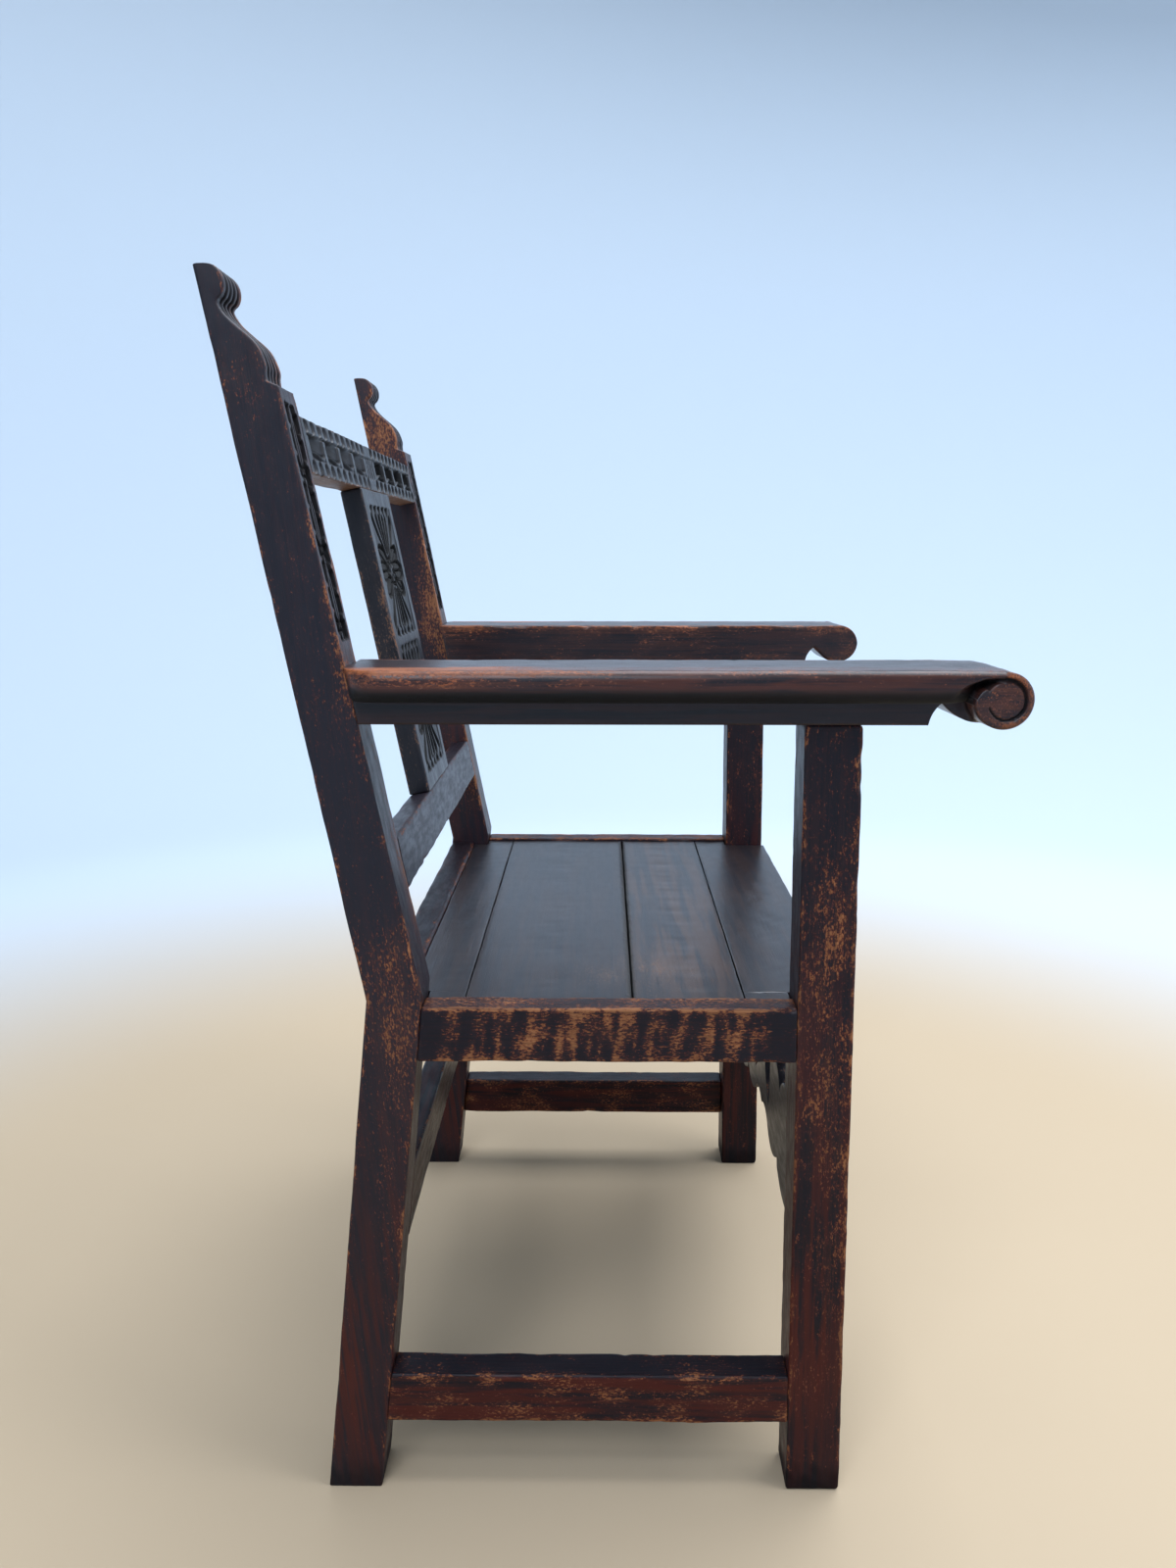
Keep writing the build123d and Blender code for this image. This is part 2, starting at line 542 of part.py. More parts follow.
# ---------------------------------------------------------------- seat boards
NOTCH_CUT_W = 100.0
NOTCH_CUT_L = 200.0
BOARD_HALF = HALF_WIDTH - RAIL_T - BOARD_CLEARANCE
NOTCH_HALF = BETWEEN_POSTS / 2 - BOARD_CLEARANCE
REAR_NOTCH_Y = post_front(SEAT_TOP) - BOARD_CLEARANCE
FRONT_NOTCH_Y = leg_rear(SEAT_TOP) + BOARD_CLEARANCE
board_edges = []
rear_edge = SEAT_BACK
for joint, gap in zip(BOARD_JOINTS, JOINT_GAPS):
    board_edges.append((rear_edge, joint + gap / 2))
    rear_edge = joint - gap / 2
board_edges.append((rear_edge, SEAT_FRONT))

for number, (rear, front) in enumerate(board_edges, start=1):
    with BuildPart() as board:
        board_plane = Plane(origin=(0, (rear + front) / 2, FRONT_RAIL_TOP), x_dir=(1, 0, 0),
                            z_dir=(0, 0, 1))
        block(board_plane, 2 * BOARD_HALF, rear - front, BOARD_T)
        # The rear board is notched round the posts, the front one round the legs.
        for _, side in SIDES:
            corner_x = side * (NOTCH_HALF + NOTCH_CUT_W / 2)
            for notch_y, direction in ((REAR_NOTCH_Y, 1), (FRONT_NOTCH_Y, -1)):
                middle_y = notch_y + direction * NOTCH_CUT_L / 2
                block(Plane(origin=(corner_x, middle_y, FRONT_RAIL_TOP), x_dir=(1, 0, 0),
                            z_dir=(0, 0, 1)), NOTCH_CUT_W, NOTCH_CUT_L, BOARD_T, Mode.SUBTRACT)
    finish(board.part, f"seat_board_{number}")

# ---------------------------------------------------------------- pierced front apron
APRON_HALF = BETWEEN_LEGS / 2
# Outlines of one half of the apron as (|x|, z), mirrored for the other half.
EDGE_AT_LEG = (APRON_HALF, 178.0)
OUTER_SCALLOP = (EDGE_AT_LEG, (200.0, 186.0), (150.0, 187.0), (117.0, 198.0))
INNER_SCALLOP = ((113.0, 209.0), (82.0, 196.0), (46.0, 209.0))
MIDDLE_SCALLOP = ((46.0, 209.0), (24.0, 217.0), (0.0, 211.0))
LEAF_TIP = (50.0, 231.0)
LEAF_INNER = (9.0, 312.0)
LEAF_OUTER = (48.0, 312.0)
LEAF_BULGES = ((19.0, 264.0), (28.5, 340.0), (55.0, 272.0))
WINDOW_X = 119.0
WINDOW_HALF = 31.0
WINDOW_SILL = 298.0
WINDOW_SPRING = 320.0     # where the arched top starts
WINDOW_CROWN = 347.0
WINDOW_FOOT = 279.0
SILL_BEND = (12.0, 293.0)  # from the window's middle


def mirrored(side, *points):
    return [(side * x, z) for x, z in points]


def apron_lower_edge(side):
    """Half of the apron's scalloped lower edge, from the leg to the middle."""
    Spline(*mirrored(side, *OUTER_SCALLOP))
    Line(*mirrored(side, OUTER_SCALLOP[-1], INNER_SCALLOP[0]))
    ThreePointArc(*mirrored(side, *INNER_SCALLOP))
    ThreePointArc(*mirrored(side, *MIDDLE_SCALLOP))


def leaf_opening(side):
    """Drop-shaped opening beside the middle of the apron, its tip leaning outward."""
    tip, inner, outer = mirrored(side, LEAF_TIP, LEAF_INNER, LEAF_OUTER)
    bulges = mirrored(side, *LEAF_BULGES)
    with BuildLine() as leaf:
        ThreePointArc(tip, bulges[0], inner)
        ThreePointArc(inner, bulges[1], outer)
        ThreePointArc(outer, bulges[2], tip)
    make_face(leaf.line)


def side_opening(side):
    """Window with an arched top and a pointed foot."""
    near = side * (WINDOW_X - WINDOW_HALF)
    far = side * (WINDOW_X + WINDOW_HALF)
    middle = side * WINDOW_X
    bend = side * SILL_BEND[0]
    with BuildLine() as window:
        Line((near, WINDOW_SILL), (near, WINDOW_SPRING))
        ThreePointArc((near, WINDOW_SPRING), (middle, WINDOW_CROWN), (far, WINDOW_SPRING))
        Line((far, WINDOW_SPRING), (far, WINDOW_SILL))
        ThreePointArc((far, WINDOW_SILL), (middle + bend, SILL_BEND[1]), (middle, WINDOW_FOOT))
        ThreePointArc((middle, WINDOW_FOOT), (middle - bend, SILL_BEND[1]), (near, WINDOW_SILL))
    make_face(window.line)


apron_plane = Plane(origin=(0, APRON_BACK, 0), x_dir=(1, 0, 0), z_dir=(0, -1, 0))
with BuildPart() as front_apron:
    with BuildSketch(apron_plane):
        with BuildLine():
            Line(EDGE_AT_LEG, (APRON_HALF, APRON_TOP))
            Line((APRON_HALF, APRON_TOP), (-APRON_HALF, APRON_TOP))
            Line((-APRON_HALF, APRON_TOP), *mirrored(-1, EDGE_AT_LEG))
            apron_lower_edge(1)
            apron_lower_edge(-1)
        make_face()
    extrude(amount=APRON_T)
    with BuildSketch(apron_plane) as piercings:
        for _, side in SIDES:
            leaf_opening(side)
            side_opening(side)
    extrude(piercings.sketch, amount=APRON_T, mode=Mode.SUBTRACT)
    for _, side in SIDES:
        block(side_plane(side, APRON_HALF, APRON_MID_Y, APRON_TENON_Z),
              TENON_T, APRON_TENON_H, APRON_TENON_L)
    block(Plane(origin=(0, APRON_MID_Y, APRON_TOP), x_dir=(1, 0, 0), z_dir=(0, 0, 1)),
          BETWEEN_LEGS, TONGUE_T, TONGUE_H)
finish(front_apron.part, "front_apron")
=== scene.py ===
import math

import bmesh
import bpy
import numpy as np
from mathutils import Matrix, Vector
from mathutils.geometry import delaunay_2d_cdt

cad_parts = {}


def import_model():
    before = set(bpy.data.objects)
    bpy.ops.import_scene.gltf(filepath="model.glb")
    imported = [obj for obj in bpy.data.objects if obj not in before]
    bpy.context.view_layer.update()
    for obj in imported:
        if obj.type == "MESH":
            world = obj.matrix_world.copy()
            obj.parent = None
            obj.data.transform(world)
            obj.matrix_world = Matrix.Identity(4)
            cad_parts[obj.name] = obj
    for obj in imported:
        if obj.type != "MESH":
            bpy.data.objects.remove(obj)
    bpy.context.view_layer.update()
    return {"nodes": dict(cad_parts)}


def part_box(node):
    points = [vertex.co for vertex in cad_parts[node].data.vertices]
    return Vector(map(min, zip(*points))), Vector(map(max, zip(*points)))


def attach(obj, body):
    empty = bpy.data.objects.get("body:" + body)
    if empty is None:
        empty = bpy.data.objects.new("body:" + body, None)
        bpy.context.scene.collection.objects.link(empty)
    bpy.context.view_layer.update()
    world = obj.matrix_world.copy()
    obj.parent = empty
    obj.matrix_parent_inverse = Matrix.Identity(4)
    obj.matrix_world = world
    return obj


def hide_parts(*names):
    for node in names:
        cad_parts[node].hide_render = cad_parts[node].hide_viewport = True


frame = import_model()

# A carved armchair in dark stained wood, worn by long use. Metres, +Z up, the chair faces -Y.
# Sizes in the carving are written in millimetres and multiplied by MM where they meet the mesh.
MM = 0.001


# ---- numbers taken from the frame
POST_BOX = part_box("rear_post_left")
LEG_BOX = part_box("front_leg_left")
ARM_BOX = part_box("arm_left")
RAIL_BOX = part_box("seat_side_rail_left")
REAR_RAIL_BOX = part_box("seat_rear_rail")
FRONT_RAIL_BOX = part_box("seat_front_rail")
STRETCHER_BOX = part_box("side_stretcher_left")
REAR_STRETCHER_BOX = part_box("rear_stretcher")
APRON_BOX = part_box("front_apron")

HALF_WIDTH = POST_BOX[1].x
POST_INNER = POST_BOX[0].x
LEG_INNER = LEG_BOX[0].x
RAIL_INNER = RAIL_BOX[0].x

# Side outline of post and leg, (y, z). The bend and the shoulder aren't on any box corner.
POST_FOOT_FRONT = (0.1987, 0.0)
POST_FOOT_REAR = (0.2440, 0.0)
POST_BEND_FRONT = (0.1526, 0.443)
POST_BEND_REAR = (0.1974, 0.439)
POST_SHOULDER = (0.2440, 0.905)
POST_TOP_REAR = (POST_BOX[1].y, 0.9865)
LEG_FOOT_REAR = (-0.1470, 0.0)
LEG_FOOT_FRONT = (LEG_BOX[0].y, 0.0)
LEG_TOP_REAR = (LEG_BOX[1].y, 0.660)
LEG_TOP_FRONT = (-0.1857, LEG_TOP_REAR[1])

RAKE = math.atan2(POST_SHOULDER[0] - POST_BEND_FRONT[0], POST_SHOULDER[1] - POST_BEND_FRONT[1])
UP = np.array([0.0, math.sin(RAKE), math.cos(RAKE)])
OUT = np.array([0.0, -math.cos(RAKE), math.sin(RAKE)])
BACK_ORIGIN = np.array([0.0, *POST_BEND_FRONT])
BACK_T = 0.020
CREST_LOW = 0.4115
CREST_HEIGHT = 0.044
LOWER_RAIL_LOW = 0.0775
LOWER_RAIL_HEIGHT = 0.0445
SPLAT_LOW = LOWER_RAIL_LOW + LOWER_RAIL_HEIGHT
REAR_STRETCHER_T = 0.022


def on_line(lower, upper, z):
    return lower[0] + (upper[0] - lower[0]) * (z - lower[1]) / (upper[1] - lower[1])


def post_front(z):
    if z < POST_BEND_FRONT[1]:
        return on_line(POST_FOOT_FRONT, POST_BEND_FRONT, z)
    return on_line(POST_BEND_FRONT, POST_SHOULDER, z)


def post_rear(z):
    if z < POST_BEND_REAR[1]:
        return on_line(POST_FOOT_REAR, POST_BEND_REAR, z)
    return on_line(POST_BEND_REAR, POST_TOP_REAR, z)


def leg_rear(z):
    return on_line(LEG_FOOT_REAR, LEG_TOP_REAR, z)


# ---- curves and noise
def unit(t):
    return np.clip(t, 0, 1)


def smooth(t):
    """0 below 0 and 1 above 1, with an even curve between."""
    t = unit(t)
    return t * t * (3 - 2 * t)


def bell(gap, width):
    """1 where gap is 0, falling off on both sides."""
    return np.exp(-(gap / width) ** 2)


def score(gap, half, rim=1.2):
    """1 along a cut line and 0 beside it. gap is the distance from the line, half its half width."""
    return unit(rim - np.abs(gap) / half)


def distance_along(path):
    return np.concatenate([[0], np.cumsum(np.hypot(*np.diff(path, axis=0).T))])


def nearest(path, point):
    """Index of the path's point that is nearest to the one given."""
    return np.argmin(np.hypot(*(path - np.array(point)).T))


def wobble(points, size, seed):
    """Smooth noise of about -1 to 1, with waves about `size` metres long."""
    rng = np.random.default_rng(seed)
    total = np.zeros(points.shape[:-1])
    for _ in range(7):
        direction = rng.normal(size=points.shape[-1])
        direction *= 2 * math.pi * rng.uniform(0.6, 1.7) / size / np.linalg.norm(direction)
        total += np.sin(points @ direction + rng.uniform(0, 2 * math.pi))
    return total / 3.5


def grain_frame(axis):
    """Two directions across the grain, and the one along it."""
    along = np.array(axis, float)
    along /= np.linalg.norm(along)
    side = np.array([1.0, 0.0, 0.0]) if abs(along[0]) < 0.9 else np.array([0.0, 1.0, 0.0])
    second = np.cross(along, side)
    second /= np.linalg.norm(second)
    return np.array([np.cross(second, along), second, along])


# ---- mesh helpers
END_ROUND = 0.0012          # rounding of a timber's ends
END_REACH = 0.0025          # how far an end is worn along the timber
ARRIS_REACH = 0.0014        # and an arris over the faces beside it
PLANE_WAVES = 0.09          # length of the waves that a hand plane leaves
PLANE_RIPPLES = 0.025       # and of the ripples on them
CARVED_SKIN = 0.0025        # points this near to the carved side follow its cuts
CUT_START = 0.0004          # from this depth a point counts as cut
ARRIS_LOST = 0.0008         # and from this one its arris is gone


def add_object(name, data):
    made = bpy.data.objects.new(name, data)
    bpy.context.scene.collection.objects.link(made)
    return made


def make_piece(name, nodes, points, faces, axis, seed, arris, hollow, wear, material, red=None,
               grain_shift=None):
    """A mesh object that stands for CAD nodes, with the attributes that the wood material reads."""
    points = np.asarray(points, float).reshape(-1, 3)
    mesh = bpy.data.meshes.new(name)
    mesh.from_pydata(points.tolist(), [], faces)
    rng = np.random.default_rng(seed)
    grain = points @ grain_frame(axis).T + rng.uniform(-3, 3, 3)
    if grain_shift is not None:
        grain[:, 2] += np.asarray(grain_shift, float).ravel()
    layer = mesh.attributes.new("grain", "FLOAT_VECTOR", "POINT")
    layer.data.foreach_set("vector", grain.astype(np.float32).ravel())
    count = len(points)
    for key, values in (("arris", arris), ("hollow", hollow), ("wear", wear), ("red", red)):
        values = np.zeros(count) if values is None else np.asarray(values, float).ravel()
        layer = mesh.attributes.new(key, "FLOAT", "POINT")
        layer.data.foreach_set("value", np.clip(values, 0, 1).astype(np.float32))
    build = bmesh.new()
    build.from_mesh(mesh)
    bmesh.ops.recalc_face_normals(build, faces=build.faces)
    build.to_mesh(mesh)
    build.free()
    mesh.shade_smooth()
    mesh.materials.append(material)
    piece = add_object(name, mesh)
    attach(piece, "root")
    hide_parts(*nodes)
    return piece


def loft_faces(stations, ring):
    """Quads between closed rings, with a flat cap on each end."""
    faces = []
    for i in range(stations - 1):
        a = i * ring
        b = a + ring
        faces.extend((a + j, a + (j + 1) % ring, b + (j + 1) % ring, b + j) for j in range(ring))
    faces.append(tuple(range(ring - 1, -1, -1)))
    last = (stations - 1) * ring
    faces.append(tuple(range(last, last + ring)))
    return faces


def ring_points(width, depth, radius, counts, corner_steps=3):
    """Rounded rectangles, one per station: positions (u, v) in metres and the distance to the
    nearest corner. Side 0 is v = 0. radius is (stations, 4) and counts is points per side."""
    us, vs, far = [], [], []
    corners = ((0, 0, math.pi), (1, 0, 1.5 * math.pi), (1, 1, 0.0), (0, 1, 0.5 * math.pi))
    for k, (cu, cv, start) in enumerate(corners):
        r = radius[:, k]
        centre_u = cu * width + (r if cu == 0 else -r)
        centre_v = cv * depth + (r if cv == 0 else -r)
        for step in range(corner_steps + 1):
            angle = start + 0.5 * math.pi * step / corner_steps
            us.append(centre_u + r * math.cos(angle))
            vs.append(centre_v + r * math.sin(angle))
            far.append(np.zeros_like(r))
        nxt = radius[:, (k + 1) % 4]
        length = width if k % 2 == 0 else depth
        for f in np.linspace(0, 1, counts[k] + 2)[1:-1]:
            if counts[k] < 20:
                f = 0.5 - 0.5 * math.cos(math.pi * f)
            along = r + f * (length - r - nxt)
            us.append((along, width, width - along, 0 * along)[k])
            vs.append((0 * along, along, depth, depth - along)[k])
            far.append(np.minimum(along - r, length - nxt - along) + 0.0002)
    return np.stack(us, 1), np.stack(vs, 1), np.stack(far, 1)


def worn_radii(stations, base, seed, chips=3):
    """Arris radius along a member: uneven wear, with a few dents and chips."""
    rng = np.random.default_rng(seed)
    t = np.asarray(stations, float)
    radius = np.empty((len(t), 4))
    for k in range(4):
        r = np.full(len(t), base)
        for _ in range(5):
            size = rng.uniform(0.02, 0.2)
            r += base * 0.16 * np.sin(2 * math.pi * t / size + rng.uniform(0, 6.3))
        for _ in range(chips):
            place = rng.uniform(t[0], t[-1])
            r += rng.uniform(0.3, 1.3) * base * bell(t - place, rng.uniform(0.002, 0.008))
        radius[:, k] = np.clip(r, 0.3 * base, 4 * base)
    return radius


def ridge_light(depth):
    """How much each point of a carved field stands above its neighbours, 0 to 1."""
    around = np.zeros_like(depth)
    for shift in (-2, 2):
        for direction in (0, 1):
            around += np.roll(depth, shift, axis=direction)
    return np.clip((around / 4 - depth) / 0.0006, 0, 1)


def spread(values):
    """The highest value at each point of the mesh and its four neighbours."""
    wide = values.copy()
    wide[1:] = np.maximum(wide[1:], values[:-1])
    wide[:-1] = np.maximum(wide[:-1], values[1:])
    wide[:, 1:] = np.maximum(wide[:, 1:], values[:, :-1])
    wide[:, :-1] = np.maximum(wide[:, :-1], values[:, 1:])
    return wide


def member(name, nodes, place, quads, axis, seed, material, arris_r=0.0016, counts=(7, 7, 7, 7),
           carve=None, shade_depth=0.0021, wear=None, red=None, end_round=END_ROUND, flat=0.00022,
           chips=3, dents=(), grime=None):
    """A timber lofted through four-cornered sections, with worn arrises and hand-planed faces.
    place holds each section's distance along the timber. carve(u, place) gives the depth cut into
    side 0, and wear, red and grime give an amount at each point."""
    place = np.asarray(place, float)
    quads = np.asarray(quads, float)
    width = np.linalg.norm(quads[:, 1] - quads[:, 0], axis=1)
    depth = np.linalg.norm(quads[:, 3] - quads[:, 0], axis=1)
    radius = worn_radii(place, arris_r, seed, chips)
    for corner, middle, reach, size in dents:
        radius[:, corner] += size * bell(place - middle, reach)
    radius = np.minimum(radius, 0.3 * np.minimum(width, depth)[:, None])
    us, vs, far = ring_points(width, depth, radius, counts)
    from_end = np.minimum(place - place[0], place[-1] - place)
    inset = end_round * (1 - np.sqrt(1 - unit(1 - from_end / end_round) ** 2))
    fu = 0.5 + (us / width[:, None] - 0.5) * (1 - 2 * inset / width)[:, None]
    fv = 0.5 + (vs / depth[:, None] - 0.5) * (1 - 2 * inset / depth)[:, None]
    cut = np.zeros_like(us)
    if carve:
        cut = carve(us, np.repeat(place[:, None], us.shape[1], 1)) * unit(1 - vs / CARVED_SKIN)
        fv = fv + cut / depth[:, None]
    q = quads[:, None, :, :]
    low_edge = q[:, :, 0] * (1 - fu)[..., None] + q[:, :, 1] * fu[..., None]
    high_edge = q[:, :, 3] * (1 - fu)[..., None] + q[:, :, 2] * fu[..., None]
    points = low_edge * (1 - fv)[..., None] + high_edge * fv[..., None]
    toward = quads.mean(1)[:, None, :] - points
    toward /= np.linalg.norm(toward, axis=2, keepdims=True) + 1e-9
    ripples = 1 + 0.5 * wobble(points, PLANE_RIPPLES, seed + 51)
    dip = flat * (1 + wobble(points, PLANE_WAVES, seed + 50)) * ripples
    points = points + toward * np.clip(dip, 0, None)[..., None]
    # Painted shade: the deeper a point is cut, the darker its colour. Grime from the floor or from the
    # joints adds to it.
    shade_and_grime = spread(unit((cut - CUT_START) / shade_depth))
    if grime:
        shade_and_grime = np.maximum(shade_and_grime, grime(points))
    arris = np.maximum(np.exp(-far / ARRIS_REACH), 0.7 * np.exp(-from_end / END_REACH)[:, None])
    # Carved ridges count as arrises, so their stain is rubbed lighter. This is worn wood and a painted
    # highlight on the ridges.
    if carve:
        arris = np.maximum(arris * (cut < ARRIS_LOST), 0.4 * ridge_light(cut))
    worn = (wear(points) if wear else np.zeros_like(cut)) * (1 - 0.6 * (cut > CUT_START))
    return make_piece(name, nodes, points, loft_faces(*points.shape[:2]), axis, seed, arris,
                      shade_and_grime, worn, material, red(points) if red else None)


def stations(length, step, end_round=END_ROUND, extra=()):
    """Distances along a timber: close at both ends, then even."""
    inner = np.linspace(2 * end_round, length - 2 * end_round, max(6, int(length / step)))
    ends = np.array([0.0, 0.12, 0.4, 1.0]) * end_round
    return np.unique(np.concatenate([ends, inner, length - ends, np.array(extra, float)]))


def timber(name, nodes, first, last, axis, seed, material, step=0.006, **settings):
    """A straight sawn timber between two four-cornered ends."""
    first = np.array(first, float)
    last = np.array(last, float)
    length = np.linalg.norm(last.mean(0) - first.mean(0))
    place = stations(length, step, settings.get("end_round", END_ROUND))
    quads = first + (last - first) * (place / length)[:, None, None]
    return member(name, nodes, place, quads, axis, seed, material, **settings)


# ---- materials
class Nodes:
    """Short forms for building a node material."""

    def __init__(self, name):
        self.material = bpy.data.materials.new(name)
        self.material.use_nodes = True
        self.tree = self.material.node_tree
        self.shader = self.tree.nodes["Principled BSDF"]

    def add(self, kind, **settings):
        node = self.tree.nodes.new(kind)
        for key, value in settings.items():
            setattr(node, key, value)
        return node

    def put(self, value, socket):
        if isinstance(value, bpy.types.NodeSocket):
            self.tree.links.new(value, socket)
        else:
            socket.default_value = value

    def math(self, operation, a, b=0.0, clamp=False):
        node = self.add("ShaderNodeMath", operation=operation, use_clamp=clamp)
        self.put(a, node.inputs[0])
        self.put(b, node.inputs[1])
        return node.outputs[0]

    def times(self, a, b, clamp=False):
        return self.math("MULTIPLY", a, b, clamp)

    def plus(self, a, b, clamp=False):
        return self.math("ADD", a, b, clamp)

    def minus(self, a, b, clamp=False):
        return self.math("SUBTRACT", a, b, clamp)

    def mix(self, factor, a, b, blend="MIX"):
        node = self.add("ShaderNodeMix", data_type="RGBA", blend_type=blend)
        self.put(factor, node.inputs[0])
        self.put(a, node.inputs[6])
        self.put(b, node.inputs[7])
        return node.outputs[2]

    def ramp(self, value, low, high, start=0.0, end=1.0):
        node = self.add("ShaderNodeMapRange", interpolation_type="SMOOTHSTEP")
        self.put(value, node.inputs[0])
        for socket, number in zip(node.inputs[1:5], (low, high, start, end)):
            self.put(number, socket)
        return node.outputs[0]

    def scaled(self, vector, scale):
        node = self.add("ShaderNodeVectorMath", operation="MULTIPLY")
        self.put(vector, node.inputs[0])
        self.put(scale, node.inputs[1])
        return node.outputs[0]

    def noise(self, vector, across, along, detail=4.0, rough=0.6, warp=0.0):
        node = self.add("ShaderNodeTexNoise")
        self.put(self.scaled(vector, (across, across, along)), node.inputs["Vector"])
        settings = (("Scale", 1.0), ("Detail", detail), ("Roughness", rough), ("Distortion", warp))
        for key, value in settings:
            node.inputs[key].default_value = value
        return node.outputs[0]

    def attribute(self, name, output="Fac"):
        return self.add("ShaderNodeAttribute", attribute_name=name).outputs[output]

    def surface(self, name, value):
        """Set or connect one of the shader's own inputs."""
        self.put(value, self.shader.inputs[name])


def wood(name, dark, brown, worn, rough=0.38, sheen=0.19, fade=0.12, mottle=0.10):
    """Dark stained wood. Near-black stain lies over red-brown wood, and it is rubbed through in
    specks that follow the grain, most on worn places and along the arrises."""
    n = Nodes(name)
    grain = n.attribute("grain", "Vector")
    arris, hollow, wear, red = [n.attribute(key) for key in ("arris", "hollow", "wear", "red")]

    # From broad figure down to single fibres: waves per metre across the grain and along it.
    figure = n.noise(grain, 38.0, 2.2, 3.0, 0.55, 0.4)
    band = n.noise(grain, 125.0, 8.0, 3.0, 0.6)
    streak = n.noise(grain, 420.0, 9.0, 4.0, 0.62)
    fibre = n.noise(grain, 1500.0, 45.0, 3.0, 0.6)
    speck = n.noise(grain, 600.0, 290.0, 4.0, 0.70)
    fleck = n.noise(grain, 150.0, 48.0, 4.0, 0.66)
    blotch = n.noise(grain, 44.0, 20.0, 4.0, 0.6)

    # How far the stain is rubbed through here.
    local = n.times(n.minus(blotch, 0.5), n.times(wear, 1.8))
    amount = n.plus(wear, local)
    edge = n.times(arris, n.ramp(fleck, 0.40, 0.66, 0.15, 1.0))
    amount = n.plus(amount, n.times(edge, 0.34))
    amount = n.minus(amount, n.times(hollow, 0.6), clamp=True)

    mixed = n.plus(n.times(speck, 0.78), n.times(fleck, 0.22))
    gate = n.minus(0.72, n.times(amount, 0.38))
    above = n.minus(mixed, gate)
    rubbed = n.ramp(above, -0.010, 0.030)
    thin = n.ramp(above, -0.09, 0.02)

    # Red shows in bands along the grain.
    reddened = n.times(n.ramp(figure, 0.3, 0.65, 0.45, 1.0),
                      n.ramp(band, 0.42, 0.58, 0.0, 1.3))
    stain = n.mix(n.times(red, reddened, clamp=True), dark, brown)
    tint = n.plus(0.14, n.times(red, 0.36))
    tone = n.mix(n.times(tint, n.ramp(streak, 0.38, 0.75)), stain, brown)
    under = n.mix(n.ramp(fibre, 0.3, 0.7), shade(brown, 0.8), shade(brown, 1.9))
    colour = n.mix(n.times(thin, 0.75), tone, under)
    rusty = (worn[0] * 0.60, worn[1] * 0.42, worn[2] * 0.32, 1)
    bare = n.mix(n.ramp(above, 0.01, 0.13), rusty, worn)
    bare = n.mix(n.ramp(streak, 0.25, 0.75), bare, shade(worn, 0.35))
    # Where hands polish the wood the stain thins evenly, in fine streaks.
    streaky = n.ramp(n.plus(n.times(streak, 0.6), n.times(fibre, 0.4)),
                     0.43, 0.57, 0.12, 1.0)
    polish = n.times(n.times(streaky, fade), n.ramp(amount, 0.12, 0.75))
    colour = n.mix(polish, colour, shade(worn, 0.62))
    colour = n.mix(n.times(rubbed, 0.88), colour, bare)
    # Painted shade: the hollow attribute (cut recesses and the arms' lower lips, with grime from the floor
    # and the joints) darkens the colour here.
    shadow = n.add("ShaderNodeCombineColor")
    for socket in shadow.inputs[:3]:        # the same shadow in red, green and blue
        n.put(n.minus(1.0, n.times(hollow, 0.85)), socket)
    n.surface("Base Color", n.mix(1.0, colour, shadow.outputs[0], "MULTIPLY"))

    shine = n.ramp(fleck, 0.3, 0.7, rough - 0.5 * mottle, rough + mottle)
    shine = n.plus(shine, n.times(rubbed, 0.12))
    n.surface("Roughness", n.plus(shine, n.times(hollow, 0.50), clamp=True))
    height = n.plus(n.times(streak, 0.5), n.times(fibre, 0.3))
    height = n.minus(height, n.times(rubbed, 0.4))
    bump = n.add("ShaderNodeBump")
    for key, value in (("Strength", 0.5), ("Distance", 0.0005), ("Height", height)):
        n.put(value, bump.inputs[key])
    n.surface("Normal", bump.outputs[0])
    n.surface("Specular IOR Level", sheen)
    return n.material


def shade(colour, factor):
    return (*(channel * factor for channel in colour[:3]), 1)


STAIN = (0.0066, 0.0060, 0.0086, 1)
BROWN = (0.050, 0.0096, 0.0074, 1)
TAN = (0.34, 0.140, 0.058, 1)
frame_wood = wood("dark_wood", (0.0078, 0.0070, 0.0102, 1), BROWN, TAN, sheen=0.14)
post_wood = wood("post_wood", (0.0100, 0.0090, 0.0136, 1), BROWN, TAN, sheen=0.22)
seat_wood = wood("seat_wood", (0.0070, 0.0072, 0.0105, 1), (0.034, 0.018, 0.013, 1),
                 (0.16, 0.09, 0.055, 1), 0.32, 0.52, fade=0.40, mottle=0.02)
arm_wood = wood("arm_wood", STAIN, (0.048, 0.014, 0.009, 1), (0.34, 0.106, 0.036, 1), 0.29, 0.28,
                fade=0.40, mottle=0.03)
carved_wood = wood("carved_wood", (0.0075, 0.0072, 0.0105, 1), (0.026, 0.018, 0.018, 1),
                   (0.24, 0.115, 0.058, 1), 0.36, 0.34)
raw_wood = wood("cleat_wood", (0.05, 0.03, 0.017, 1), (0.16, 0.09, 0.045, 1),
                (0.30, 0.19, 0.10, 1), 0.65)


def iron_material():
    n = Nodes("wrought_iron")
    place = n.add("ShaderNodeTexCoord").outputs["Object"]
    pits = n.noise(place, 900.0, 900.0, 4.0, 0.6)
    black, rust = (0.05, 0.045, 0.042, 1), (0.13, 0.06, 0.035, 1)
    n.surface("Base Color", n.mix(n.ramp(pits, 0.35, 0.7), black, rust))
    n.surface("Roughness", n.ramp(pits, 0.3, 0.7, 0.45, 0.8))
    n.surface("Metallic", 0.7)
    return n.material


def show_cad(node, material):
    slots = frame["nodes"][node].data.materials
    slots.clear()
    slots.append(material)


# ---- wear on each member
def spots(x, reach, *rows):
    """Spots for blobs() on a face at x, from rows of y, z, their two radii and the strength."""
    return [((x, y, z), (reach, y_reach, z_reach), strength)
            for y, z, y_reach, z_reach, strength in rows]


